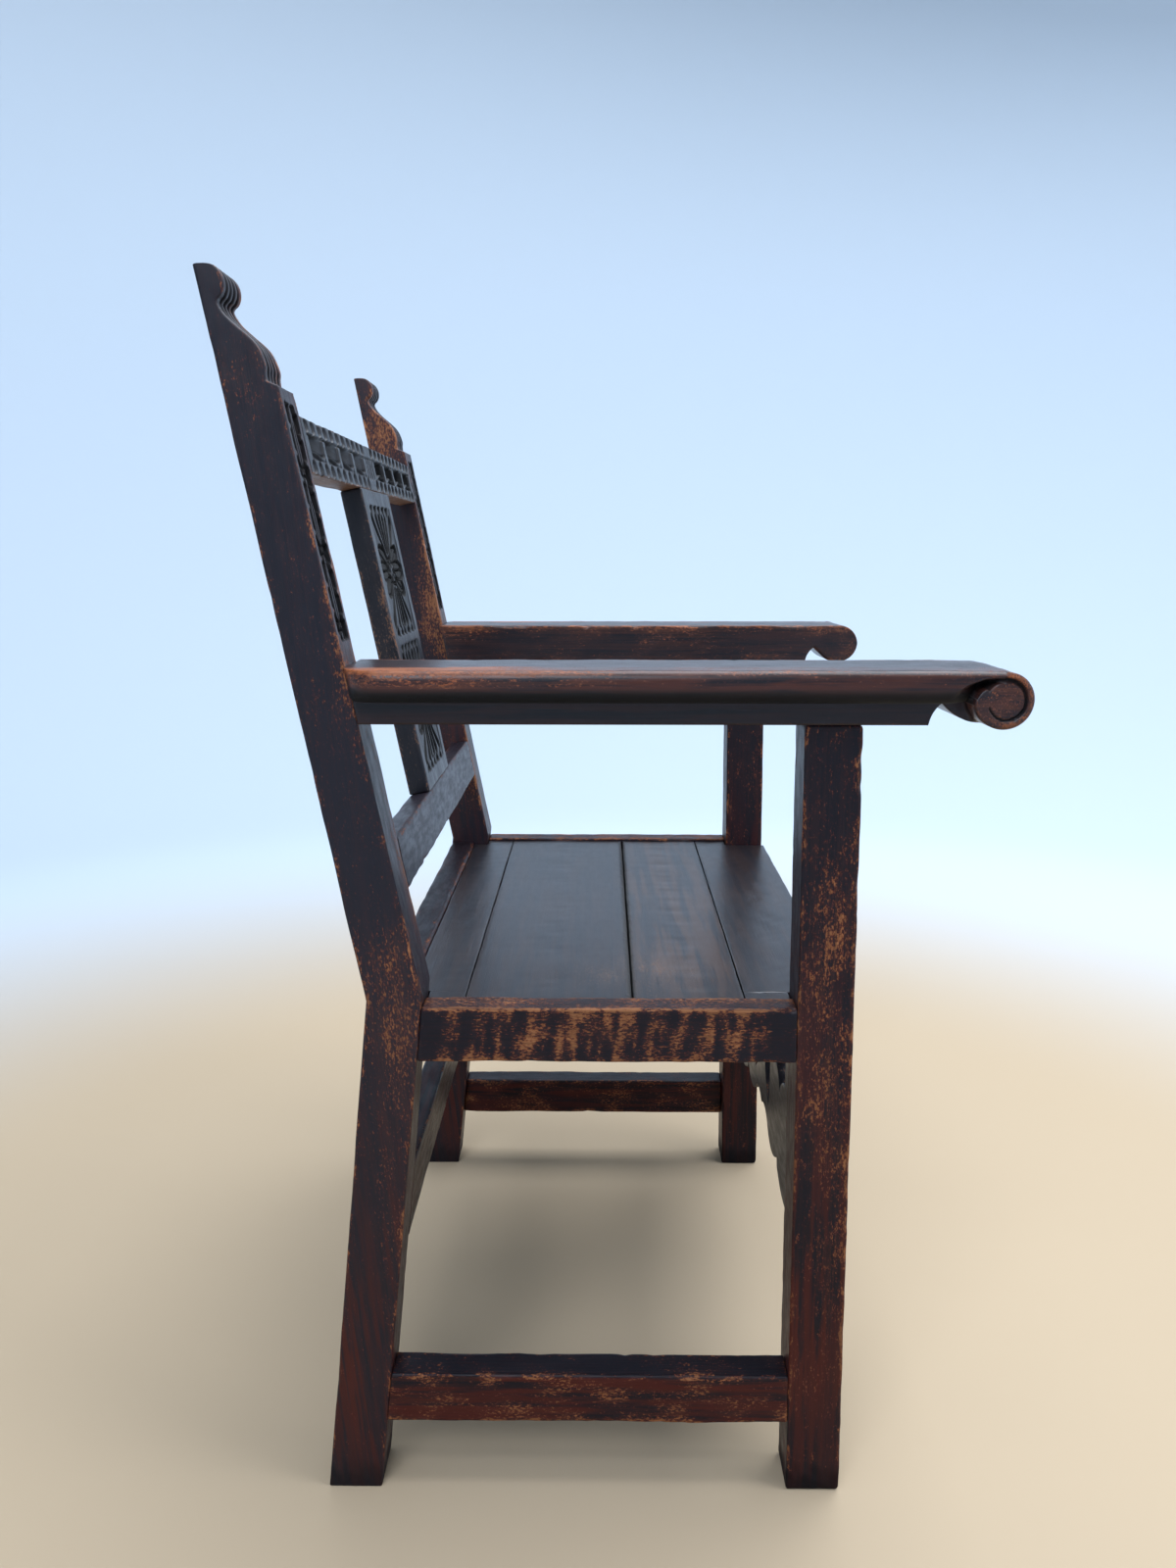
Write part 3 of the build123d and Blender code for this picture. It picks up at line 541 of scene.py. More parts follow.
def blobs(*spots, base=0.0):
    """Wear made of soft round or long spots: (centre, radii, strength)."""
    def amount(points):
        total = np.full(points.shape[:-1], base)
        for centre, radii, strength in spots:
            gap = (points - np.array(centre)) / np.array(radii)
            total += strength * np.exp(-(gap ** 2).sum(-1))
        return total
    return amount


# ---- straight members
SIDES = (("left", 1), ("right", -1))
LEG_MIDDLE = 0.28           # |x| at about the middle of a leg or post


def dark_foot(points):
    """Grime that creeps up from the floor."""
    height = points[..., 2] + 0.006 * wobble(points, 0.012, 3)
    return 0.65 * smooth((0.030 - height) / 0.022)


def near_top(points, box):
    """1 on a rail's top face, 0 from 3 mm below it."""
    return smooth((points[..., 2] - box[1].z + 0.003) / 0.002)


def front_legs():
    """Square legs up to the underside of the arm."""
    for name, s in SIDES:
        def level(front, rear, z):
            return ((s * LEG_INNER, front, z), (s * HALF_WIDTH, front, z),
                    (s * HALF_WIDTH, rear, z), (s * LEG_INNER, rear, z))
        rubbed = spots(s * HALF_WIDTH, 0.03, (-0.168, 0.52, 0.016, 0.06, 0.24),
                       (-0.160, 0.40, 0.03, 0.09, 0.18), (-0.18, 0.25, 0.02, 0.13, 0.14))
        reddish = spots(s * LEG_MIDDLE, 0.1, (-0.17, 0.14, 0.1, 0.16, 0.9), (-0.17, 0.40, 0.1, 0.1, 0.35))
        timber(f"leg_{name}", [f"front_leg_{name}"], level(LEG_FOOT_FRONT[0], LEG_FOOT_REAR[0], 0.0),
               level(LEG_TOP_FRONT[0], LEG_TOP_REAR[0], LEG_TOP_FRONT[1]),
               (0, 0, 1), 11 + s, frame_wood, arris_r=0.0018, end_round=0.003,
               wear=blobs(*rubbed, base=0.23), red=blobs(*reddish), chips=6, step=0.003,
               dents=((1, 0.634, 0.007, 0.004), (1, 0.612, 0.004, 0.003)), grime=dark_foot)


def rail_bands(points):
    """Upright bands of rubbed specks on the outer faces of the seat side rails."""
    y, z = points[..., 1], points[..., 2]
    slant = np.stack([y + 0.03 * z, 0.12 * z], -1)
    bands = 0.55 + 0.55 * wobble(slant, 0.0125, 5) + 0.30 * wobble(slant, 0.006, 6)
    outer = smooth((np.abs(points[..., 0]) - HALF_WIDTH + 0.004) / 0.003)
    fade = smooth((y + 0.135) / 0.03) * smooth((0.150 - y) / 0.02)
    return (0.14 + 0.32 * near_top(points, RAIL_BOX)
            + outer * fade * np.clip(0.64 * bands - 0.05, 0, 0.54))


def stretcher_wear(points):
    patches = smooth(0.5 + 1.6 * wobble(points, 0.045, 9))
    return (0.22 + 0.24 * patches) * (1 - 0.4 * near_top(points, STRETCHER_BOX))


def stretcher_red(points):
    return 0.95 * (1 - near_top(points, STRETCHER_BOX))


def side_timber(name, node, box, s, first_y, last_y, seed, material, **settings):
    """A timber along one side. first_y and last_y give y where its ends meet height z."""
    inner, outer, low, high = box[0].x, box[1].x, box[0].z, box[1].z
    ends = [((s * outer, y_at(high), high), (s * outer, y_at(low), low),
             (s * inner, y_at(low), low), (s * inner, y_at(high), high)) for y_at in (first_y, last_y)]
    timber(name, [node], *ends, (0, 1, 0), seed, material, **settings)


def lengthwise_rails():
    """Seat side rails, side stretchers and the hidden battens along both sides."""
    for name, s in SIDES:
        side_timber(f"side_rail_{name}", f"seat_side_rail_{name}", RAIL_BOX, s, leg_rear, post_front,
                    21 + s, frame_wood, step=0.004, wear=rail_bands,
                    dents=((0, 0.005, 0.004, 0.006),) if s < 0 else ())
        side_timber(f"low_stretcher_{name}", f"side_stretcher_{name}", STRETCHER_BOX, s, leg_rear,
                    post_front, 31 + s, frame_wood, arris_r=0.0022, wear=stretcher_wear,
                    red=stretcher_red)
        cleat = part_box("seat_cleat_left")
        side_timber(f"cleat_{name}", f"seat_cleat_{name}", cleat, s, lambda z: cleat[0].y,
                    lambda z: cleat[1].y, 41 + s, raw_wood, arris_r=0.0008)


def across(x, front, rear):
    """Section of a timber that runs across the chair; front and rear are ((y, z) low, high)."""
    return ((x, *front[0]), (x, *front[1]), (x, *rear[1]), (x, *rear[0]))


def level_rail(box):
    """Front and rear outlines of an upright board, from its box."""
    low, high = box
    return (((low.y, low.z), (low.y, high.z)), ((high.y, low.z), (high.y, high.z)))


def crossbar(name, node, half, front, rear, seed, material, **settings):
    """A timber across the chair, from x = -half to half."""
    timber(name, [node], across(-half, front, rear), across(half, front, rear), (1, 0, 0), seed,
           material, **settings)


def crosswise_rails():
    """Rails between the two sides: seat rails, rear stretcher and lower back rail."""
    crossbar("rear_seat_rail", "seat_rear_rail", POST_INNER, *level_rail(REAR_RAIL_BOX), 51,
             frame_wood, arris_r=0.003, wear=blobs(base=0.18))
    crossbar("front_seat_rail", "seat_front_rail", LEG_INNER, *level_rail(FRONT_RAIL_BOX), 52,
             frame_wood, wear=blobs(base=0.2))
    front = [(post_front(corner.z), corner.z) for corner in REAR_STRETCHER_BOX]
    rear = [(y + REAR_STRETCHER_T, z) for y, z in front]
    crossbar("back_stretcher", "rear_stretcher", POST_INNER, front, rear, 53, frame_wood,
             wear=blobs(base=0.12), red=blobs(base=0.6))
    crossbar("low_back_rail", "lower_back_rail", POST_INNER,
             *back_section(LOWER_RAIL_LOW, LOWER_RAIL_LOW + LOWER_RAIL_HEIGHT), 54, post_wood,
             arris_r=0.002, wear=blobs(base=0.12))


def on_back(along, depth=0.0):
    """(y, z) of a point on the raked back, depth measured behind its front face."""
    point = BACK_ORIGIN + UP * along - OUT * depth
    return (point[1], point[2])


def back_section(low, high):
    return ((on_back(low), on_back(high)), (on_back(low, BACK_T), on_back(high, BACK_T)))


# ---- carving, in millimetres
def groove(u, v, start, end, wide_start, wide_end, depth):
    """Cut along a line, with steep walls and a flat bottom. Its width changes from one end to the
    other, and its depth grows from about half at the start to all of it at the end."""
    du, dv = end[0] - start[0], end[1] - start[1]
    t = unit(((u - start[0]) * du + (v - start[1]) * dv) / (du * du + dv * dv))
    away = np.hypot(u - start[0] - t * du, v - start[1] - t * dv)
    half = (wide_start + (wide_end - wide_start) * t) / 2
    return depth * unit(2.0 * (1 - away / half)) * (0.55 + 0.45 * t)


def sunk(u, v, low, high, depth, wall=0.7):
    """Flat-bottomed rectangle from corner low to corner high, with steep walls."""
    inside = np.minimum(np.minimum(u - low[0], high[0] - u), np.minimum(v - low[1], high[1] - v))
    return depth * unit(inside / wall + 0.5)


def oval(u, v, middle, size, turn=0.0):
    """1 at the middle of an oval and 0 on its edge, negative outside."""
    c, s = math.cos(turn), math.sin(turn)
    a = ((u - middle[0]) * c + (v - middle[1]) * s) / size[0]
    b = (-(u - middle[0]) * s + (v - middle[1]) * c) / size[1]
    return 1 - np.hypot(a, b)


def thumb_cut(u, v, middle, size, depth, deep_side):
    """Scooped cut: a steep wall on one side, running out to nothing on the other."""
    inside = unit(oval(u, v, middle, size, deep_side * 0.25) * 3.0)
    run = np.clip(0.55 + 0.6 * deep_side * (u - middle[0]) / size[0], 0.12, 1)
    return depth * inside * run


# Crest rail: u runs up the face from 0 to CREST_HEIGHT, x across the chair.
CREST_H = CREST_HEIGHT / MM
GOUGES = [131 + 22 * k for k in range(-5, 6)]
GOUGE_ROWS = (5.8, CREST_H - 5.8)
GOUGE_SIZE = (7.5, 6.0)
GOUGE_DEPTH = 8.5
WINDOWS = [134 + 56 * (k - 1.5) for k in range(4)]
WINDOW_HALF = (23.5, 9.5)
LINE_UP = CREST_H - 12.6    # the thin line under the upper row of gouges
LINE_HALF_LENGTH = 246
BARS = (-15.0, -5.0, 5.0, 15.0)     # upright cuts between the two middle windows


def crest_carving(u, place):
    up = u / MM
    x = place / MM - POST_INNER / MM
    depth = np.zeros_like(up)
    for s in (-1, 1):
        for k, middle in enumerate(GOUGES):
            shift = 0.8 * math.sin(7.1 * k + s)
            for row in GOUGE_ROWS:
                gouge = thumb_cut(x, up, (s * middle + shift, row), GOUGE_SIZE, GOUGE_DEPTH, s)
                depth = np.maximum(depth, gouge)
        for middle in WINDOWS:
            depth = np.maximum(depth, crest_window(s * (x - s * middle), up - CREST_H / 2))
    depth = np.maximum(depth, 2.6 * score(up - LINE_UP, 0.9, 1.4) * (np.abs(x) < LINE_HALF_LENGTH))
    for bar in BARS:
        depth = np.maximum(depth, groove(x, up, (bar, 12.5), (bar, CREST_H - 14.5), 5.0, 5.0, 3.6))
    return depth * MM


def crest_window(w, v):
    """One sunk window: w runs outward. The floor drops outward, over a curled leaf at the foot."""
    edge = sunk(w, v, (-WINDOW_HALF[0], -WINDOW_HALF[1]), WINDOW_HALF, 1.0, 0.9)
    floor = 4.8 + 3.8 * w / WINDOW_HALF[0] + 0.8 * np.cos(v / WINDOW_HALF[1] * 1.3)
    curl_line = -4.6 + 2.3 * np.sin(w / WINDOW_HALF[0] * 2.6 + 0.6)
    leaf = unit((curl_line - v) / 0.9 + 0.5)
    ridge = bell(v - curl_line, 1.1)
    undercut = bell(v - curl_line - 2.4, 1.1)
    floor = floor * (1 - 0.45 * leaf) - 2.6 * ridge + 1.6 * undercut
    vein = bell(v - curl_line + 3.0, 0.8)
    return edge * np.clip(floor + 1.6 * vein, 0.6, 11)


# Splat: u runs across the face from 0 to SPLAT_W, v up from the splat's foot.
SPLAT_W = 142.0
FIELD_HALF = (56.0, 62.0)
FIELD_MIDDLES = (78.0, 212.0)
FAN_CUTS = 6
FAN_START = -42             # degrees from upright, then the step from one cut to the next
FAN_STEP = 16.8
FAN_REACH = (50.0, 52.0)    # along the field and across it
KNOT_R = 13


def fan(dx, dv, direction, seed):
    """Long cuts that spread from the knot towards one end of the field, where short ones stand."""
    rng = np.random.default_rng(seed)
    depth = np.zeros_like(dx)
    for k in range(FAN_CUTS):
        angle = math.radians(FAN_START + FAN_STEP * k + rng.uniform(-2, 2))
        reach = min(FAN_REACH[0] / max(math.cos(angle), 0.1), FAN_REACH[1] / max(abs(math.sin(angle)), 0.1))
        start = 15 + 5 * (k % 2)
        tip = (math.sin(angle) * reach, direction * math.cos(angle) * reach)
        root = (math.sin(angle) * start, direction * math.cos(angle) * start)
        depth = np.maximum(depth, groove(dx, dv, root, tip, 4.0, 10.5, 10.0))
    for across_field in range(-40, 41, 20):
        low, high = (across_field, direction * 55.0), (across_field, direction * 60.0)
        depth = np.maximum(depth, groove(dx, dv, low, high, 3.0, 12.0, 8.0))
    return depth


def petals(dx, dv):
    """Curved leaves on both sides of the knot, and the knot itself."""
    depth = np.zeros_like(dx)
    for s in (-1, 1):
        for tilt, far in ((-0.42, 30), (0.42, 30), (0.0, 36)):
            middle = (s * far * math.cos(tilt), far * math.sin(tilt))
            leaf = oval(dx, dv, middle, (20.0, 9.0), s * tilt)
            outline = 7.5 * score(leaf, 0.16, 1.25)
            vein = 5.0 * score(oval(dx, dv, middle, (60.0, 1.3), s * tilt) - 1, 1.0)
            depth = np.maximum(depth * (leaf < 0), np.maximum(outline, unit(leaf * 3) * (1.6 + vein)))
    r = np.hypot(dx, dv)
    turn = np.arctan2(dv, dx)
    depth = np.where(r < KNOT_R, 1.0 + 1.6 * np.cos(turn * 6) * unit(r / 9), depth)
    depth = np.maximum(depth, 6.0 * score(r - KNOT_R, 2.0))
    return np.where(r < 4, 0.4, depth)


def splat_carving(u, place):
    x = u / MM - SPLAT_W / 2
    v = place / MM
    depth = np.zeros_like(x)
    for number, middle in enumerate(FIELD_MIDDLES):
        dv = v - middle
        low = (-FIELD_HALF[0], -FIELD_HALF[1])
        field = sunk(x, dv, low, FIELD_HALF, 1.0)
        cuts = np.maximum(fan(x, dv, 1, 60 + number), fan(x, dv, -1, 70 + number))
        cuts = np.maximum(cuts, petals(x, dv))
        swell = 0.3 * np.sin(x / 9.0 + number) * np.sin(dv / 11.0)
        depth = np.maximum(depth, field * np.clip(0.8 + swell + cuts, 0.5, 12.0))
    return depth * MM


# Rear posts: u across the front face from its inner edge, v along the face.
POST_W = 46.0
FIELD_LOW = 285.0
FIELD_HIGH = 460.0
STRIP_HALF = 11.0
LEAF_PITCH = 58.0
SLITS = 9
SLIT_PITCH = (FIELD_HIGH - FIELD_LOW) / SLITS
SLIT_X = 13.5
SLIT_HALF = 5.5
REED_PITCH = 9.0


def post_field(x, v):
    """Sunk strip with a row of long leaves, and slits down both borders."""
    field = sunk(x, v, (-STRIP_HALF, FIELD_LOW), (STRIP_HALF, FIELD_HIGH), 1.0, 0.9)
    phase = np.mod(v - FIELD_LOW, LEAF_PITCH) / LEAF_PITCH
    half = 2.5 + 6.0 * np.sin(math.pi * unit(phase)) ** 0.7
    floor = 6.4 - 5.5 * unit(2.6 * (1 - np.abs(x) / half))
    for bend in (-1, 1):
        floor = np.maximum(floor, 6.0 * score(phase * LEAF_PITCH - 9 - bend * x * 1.4, 1.8))
    floor = np.maximum(floor, 3.4 * score(x, 0.9, 1.1) * (np.abs(phase - 0.5) < 0.3))
    depth = field * floor
    for s in (-1, 1):
        for k in range(SLITS):
            middle = FIELD_LOW + SLIT_PITCH * (k + 0.5) + 3 * s
            low, high = (s * SLIT_X, middle - SLIT_HALF), (s * SLIT_X, middle + SLIT_HALF)
            depth = np.maximum(depth, groove(x, v, low, high, 4.6, 4.6, 8.0))
    return depth


def finial_reeds(x, v, start):
    """Reeds that follow the front of the finial."""
    reeds = 3.0 * score(np.mod(x, REED_PITCH) - REED_PITCH / 2, 1.9, 1.3)
    return unit((v - start) / 3.0) * reeds * (np.abs(x) < 18)


# ---- rear posts
FINIAL_CURVE = ((0.2524, 0.9085), (0.2530, 0.9140), (0.2528, 0.9195), (0.2555, 0.9280),
                (0.2593, 0.9345), (0.2650, 0.9403), (0.2703, 0.9447), (0.2800, 0.9535),
                (0.2848, 0.9612))
VOLUTE = ((0.2840, 0.9645), (0.2818, 0.9668), (0.2801, 0.9705), (0.2796, 0.9745), (0.2802, 0.9785),
          (0.2819, 0.9825), (0.2850, 0.9860), (0.2885, 0.9875), (0.2930, 0.98785))
VOLUTE_TOP = VOLUTE[6]
TOP_END = (0.2990, 0.9876)


def rounded_path(corners, step):
    """Even points along a smooth curve through the corners (Catmull-Rom)."""
    p = np.array(corners, float)
    p = np.vstack([2 * p[0] - p[1], p, 2 * p[-1] - p[-2]])
    out = []
    for i in range(1, len(p) - 2):
        for t in np.linspace(0, 1, 12, endpoint=False):
            out.append(0.5 * (2 * p[i] + (p[i + 1] - p[i - 1]) * t
                              + (2 * p[i - 1] - 5 * p[i] + 4 * p[i + 1] - p[i + 2]) * t ** 2
                              + (3 * p[i] - p[i - 1] - 3 * p[i + 1] + p[i + 2]) * t ** 3))
    out.append(p[-2])
    out = np.array(out)
    run = distance_along(out)
    even = np.linspace(0, run[-1], int(run[-1] / step) + 1)
    return np.stack([np.interp(even, run, out[:, k]) for k in range(2)], 1)


def straight_path(start, end, step):
    count = max(2, int(math.dist(start, end) / step) + 1)
    return np.linspace(start, end, count)


def post_outline():
    """Front edge of a post as (y, z), matched with a rear edge, the distance along it, and the
    distance from the bend."""
    bend = POST_BEND_FRONT[1]
    field_low = on_back((FIELD_LOW - 4) * MM)
    field_high = on_back((FIELD_HIGH + 4) * MM)
    foot = [(post_front(z), z) for z in (0.0, 0.0002, 0.0008, 0.002, 0.005)]
    front = np.concatenate([foot[:-1], straight_path(foot[-1], POST_BEND_FRONT, 0.006),
                            straight_path(POST_BEND_FRONT, field_low, 0.006)[1:],
                            straight_path(field_low, field_high, 0.0011)[1:],
                            straight_path(field_high, POST_SHOULDER, 0.0015)[1:],
                            rounded_path((POST_SHOULDER, FINIAL_CURVE[0]), 0.0012)[1:],
                            rounded_path(FINIAL_CURVE + VOLUTE, 0.0012)[1:]])
    place = distance_along(front)
    below = front[:, 1] < bend
    rear_z = np.where(below, front[:, 1] * POST_BEND_REAR[1] / bend, 0)
    run = place - place[np.argmin(np.abs(front[:, 1] - bend))]
    shoulder = run[nearest(front, POST_SHOULDER)]
    volute = run[nearest(front, VOLUTE_TOP)]
    knots = ((0, POST_BEND_REAR[1]), (shoulder, POST_SHOULDER[1] - 0.008), (volute, POST_TOP_REAR[1]))
    rear_z = np.where(below, rear_z, np.interp(run, *zip(*knots)))
    rear = np.stack([[post_rear(z) for z in rear_z], rear_z], 1)
    # Over the top the rear edge curves forward.
    angle = 0.5 * math.pi * unit((run - volute) / (run[-1] - volute))
    rear[:, 0] += (TOP_END[0] - POST_TOP_REAR[0]) * (1 - np.cos(angle))
    rear[:, 1] += (TOP_END[1] - POST_TOP_REAR[1]) * np.sin(angle)
    return front, rear, place, run


# Rows of y, z, their two radii and the strength, on a post's outer face and on its inner one.
POST_RUBBED = ((0.175, 0.43, 0.022, 0.07, 0.26), (0.150, 0.50, 0.02, 0.05, 0.20),
               (0.193, 0.73, 0.022, 0.08, 0.42), (0.18, 0.30, 0.02, 0.12, 0.16))
POST_SHOULDER_RUBBED = (0.27, 0.91, 0.02, 0.02, 0.08)
POST_INNER_RUBBED = ((0.205, 0.76, 0.030, 0.13, 0.46), (0.27, 0.93, 0.04, 0.05, 0.38),
                     (0.165, 0.53, 0.03, 0.05, 0.42))
POST_REDDISH = ((0.23, 0.08, 0.1, 0.10, 0.8), (0.21, 0.25, 0.1, 0.12, 0.35))
POST_INNER_REDDISH = ((0.17, 0.53, 0.1, 0.10, 0.6), (0.27, 0.93, 0.1, 0.10, 0.4))


def rear_posts():
    """Bent posts, with a carved strip in the front face and reeds up the finial."""
    front, rear, place, run = post_outline()
    reeds_start = place[nearest(front, POST_SHOULDER)] / MM + 9.0
    bend_place = (place - run)[0]

    def carve(u, at):
        x = u / MM - POST_W / 2
        strip = post_field(x, (at - bend_place) / MM)
        return np.maximum(strip, finial_reeds(x, at / MM, reeds_start)) * MM
    for name, s in SIDES:
        outer, inner = s * HALF_WIDTH, s * POST_INNER
        quads = [((inner, *near), (outer, *near), (outer, *far), (inner, *far))
                 for near, far in zip(front, rear)]
        rubbed = (spots(outer, 0.02, *POST_RUBBED) + spots(outer, 0.03, POST_SHOULDER_RUBBED)
                  + spots(inner, 0.02, *POST_INNER_RUBBED))
        reddish = spots(s * LEG_MIDDLE, 0.1, *POST_REDDISH) + spots(inner, 0.02, *POST_INNER_REDDISH)
        member(f"post_{name}", [f"rear_post_{name}"], place, quads, (0, 0.1, 1), 3 + s, post_wood,
               arris_r=0.0016, counts=(44, 8, 8, 8), carve=carve, wear=blobs(*rubbed, base=0.17),
               red=blobs(*reddish), chips=5, grime=dark_foot)


# ---- carved back
def bare_underside(points):
    """The crest rail's underside was never stained well."""
    along = (points - BACK_ORIGIN) @ UP
    return 0.12 + 0.85 * smooth((CREST_LOW + 0.0014 - along) / 0.001)


def crest():
    front, rear = back_section(CREST_LOW, CREST_LOW + CREST_HEIGHT)
    place = stations(2 * POST_INNER, 0.0008)
    quads = np.array([across(x - POST_INNER, front, rear) for x in place])
    member("carved_crest", ["crest_rail"], place, quads, (1, 0, 0), 61, carved_wood,
           counts=(54, 7, 8, 7), carve=crest_carving, shade_depth=0.0068, wear=bare_underside)


def splat():
    length = CREST_LOW - SPLAT_LOW
    place = stations(length, 0.0009)
    quads = []
    for along in place + SPLAT_LOW:
        near, far = on_back(along), on_back(along, BACK_T)
        half = SPLAT_W * MM / 2
        quads.append(((-half, *near), (half, *near), (half, *far), (-half, *far)))
    member("carved_splat", ["back_splat"], place, quads, tuple(UP), 62, carved_wood,
           counts=(150, 6, 10, 6), carve=splat_carving,
           wear=blobs(((-0.071, 0.2, 0.75), (0.012, 0.03, 0.2), 0.26), base=0.12))


# ---- arms
ARM_TOP = ARM_BOX[1].z
ARM_BOTTOM = 0.660
ARM_MIDDLE = (ARM_TOP + ARM_BOTTOM) / 2
ARM_BACK = post_front(ARM_MIDDLE)
ARM_INNER = ARM_BOX[0].x
ARM_OUTER = ARM_BOX[1].x
LIP_BOTTOM = 0.679
LIP_R = (ARM_TOP - LIP_BOTTOM) / 2
LIP_CORNER = 0.030
SCROLL_R = 0.0215
SCROLL_Y = ARM_BOX[0].y + SCROLL_R
LEFT_SHORTER = 0.0088       # the left scroll is carved a little further back
LEFT_HOLLOW = 0.0030        # and so is its hollow
SCROLL_Z = ARM_TOP - SCROLL_R
SCROLL_FACE = ARM_OUTER - 0.002
LOWER_END = -0.2340
HOLLOW_Y = LOWER_END - 0.0095
HOLLOW_TOP = 0.6770
LIP_FULLNESS = 3.2
ARM_ARRIS = 0.0028
RAKE_REACH = 0.12
LIP_STEPS = 46
RECESS_DEPTH = 0.019
END_ARRIS = 0.0022          # rounding of the scroll's flat end
RIM_HEIGHT = 0.0014
SPIRAL_DEPTH = 0.0032
EYE_DEPTH = 0.0007
FAR = 0.02                  # further from an arris than its wear reaches
# Upper edge of the recess, (y, z), from above the scroll back to where the recess begins.
RECESS_EDGE = ((-0.2814, 0.6984), (-0.2776, 0.6986), (-0.2645, 0.6972), (-0.2513, 0.6928),
               (-0.2367, 0.6826))
# On the scroll's end, (angle, radius): reach of the face, then middle and half width of the line.
FACE_REACH = ((-180, 0.0216), (-140, 0.0225), (-110, 0.0215), (88, 0.0215), (96, 0.0132), (138, 0.0153),
              (160, 0.0186), (180, 0.0216))
SPIRAL_MIDDLE = ((-162, 0.0120), (-90, 0.0147), (0, 0.0150), (45, 0.0150), (90, 0.0148), (120, 0.0160))
SPIRAL_HALF = ((-162, 0.0004), (-90, 0.0006), (0, 0.0008), (45, 0.0011), (90, 0.0013), (120, 0.0020))


def circle_half(y):
    return np.sqrt(np.clip(SCROLL_R ** 2 - (y - SCROLL_Y) ** 2, 0, None))


def arm_top(y):
    return np.where(y < SCROLL_Y, SCROLL_Z + circle_half(y), ARM_TOP)


def arm_underside(y):
    """Lower part, the hollow behind the scroll, and the scroll itself."""
    rise = unit((LOWER_END - y) / (LOWER_END - HOLLOW_Y))
    curve = 0.6 * np.sqrt(1 - (1 - rise) ** 2) + 0.4 * rise
    in_hollow = ARM_BOTTOM + (HOLLOW_TOP - ARM_BOTTOM) * curve
    tail_y = SCROLL_Y + 0.0058
    tail_z = SCROLL_Z - circle_half(tail_y)
    fall = unit((HOLLOW_Y - y) / (HOLLOW_Y - tail_y))
    slope = HOLLOW_TOP + (tail_z - HOLLOW_TOP) * (1 - (1 - fall) ** 2.3)
    under = np.where(y > LOWER_END, ARM_BOTTOM, np.where(y > HOLLOW_Y, in_hollow, slope))
    return np.where(y < tail_y, SCROLL_Z - circle_half(y), under)


def lip_underside(y):
    under_scroll = np.minimum(LIP_BOTTOM, SCROLL_Z - circle_half(y))
    return np.where(y < SCROLL_Y + SCROLL_R, under_scroll, LIP_BOTTOM)


def scroll_polar(y, z):
    """Distance from the scroll's centre, and the angle: 0 forward, 90 up, 180 to the rear."""
    return np.hypot(y - SCROLL_Y, z - SCROLL_Z), np.degrees(np.arctan2(z - SCROLL_Z, SCROLL_Y - y))


def face_reach(angle):
    """Radius of the scroll's flat end, which is wider towards the rear."""
    return np.interp(angle, *zip(*FACE_REACH))


def spiral_cut(y, z):
    """1 in the spiral line on the scroll's end, which widens over the top into the recess."""
    radius, angle = scroll_polar(y, z)
    middle = np.interp(angle, *zip(*SPIRAL_MIDDLE))
    half = np.interp(angle, *zip(*SPIRAL_HALF))
    share = unit((angle - SPIRAL_MIDDLE[0][0]) / 12) * (angle < 150)
    return share * score(radius - middle, half, 1.5)


def band_share(y, z):
    """1 where the scroll's rim is a raised band, 0 at its rear, where it is flat."""
    angle = scroll_polar(y, z)[1]
    return smooth((128 - np.abs(angle - 18)) / 30)


def recess(y, z):
    """Share of the carved recess behind the scroll; its upper edge rises towards the front."""
    edge = np.interp(y, *zip(*RECESS_EDGE))
    return smooth((edge - z) / 0.0050 + 0.3) * smooth((RECESS_EDGE[-1][0] + 0.001 - y) / 0.030) ** 1.4


def arm_side(y, z):
    """|x| of the outer surface: half-round lip, the recess behind the scroll, the scroll's end."""
    middle = ARM_TOP - LIP_R
    # The lip is fuller above its middle than a half circle.
    power = np.where(z > middle, LIP_FULLNESS, 2.0)
    flat_part = 1 - (np.abs(z - middle) / LIP_R) ** power
    lip = ARM_OUTER - LIP_R * (1 - np.clip(flat_part, 0, None) ** (1 / power))
    over_top = 0.25 + 0.75 * smooth((y - SCROLL_Y) / 0.014)
    lip = lip - RECESS_DEPTH * recess(y, z) * over_top
    radius, angle = scroll_polar(y, z)
    reach = face_reach(angle)
    inside = unit((reach - radius) / END_ARRIS)
    face = SCROLL_FACE - END_ARRIS * (1 - np.sqrt(1 - (1 - inside) ** 2))
    face = face + RIM_HEIGHT * np.sqrt(score(radius - 0.0178, 0.0032, 1)) * band_share(y, z)
    face = face - SPIRAL_DEPTH * spiral_cut(y, z)
    face = face - EYE_DEPTH * smooth(3 * unit(1 - radius / 0.0125))
    return np.where(radius < reach, face, lip)


def arm_stations():
    """y of the sections: close over the scroll and round the lip's rear corner."""
    tip = SCROLL_Y - SCROLL_R * np.sin(np.radians(np.linspace(88.5, 0, 34)))
    scroll = np.arange(SCROLL_Y + 0.0007, HOLLOW_Y, 0.00065)
    hollow = np.linspace(HOLLOW_Y, LOWER_END + 0.0004, 9)
    corner = ARM_BACK - LIP_CORNER * np.cos(np.radians(np.linspace(0, 90, 20)))
    shank = np.arange(LOWER_END + 0.004, corner[0] - 0.002, 0.0035)
    return np.concatenate([tip, scroll, hollow, shank, corner])


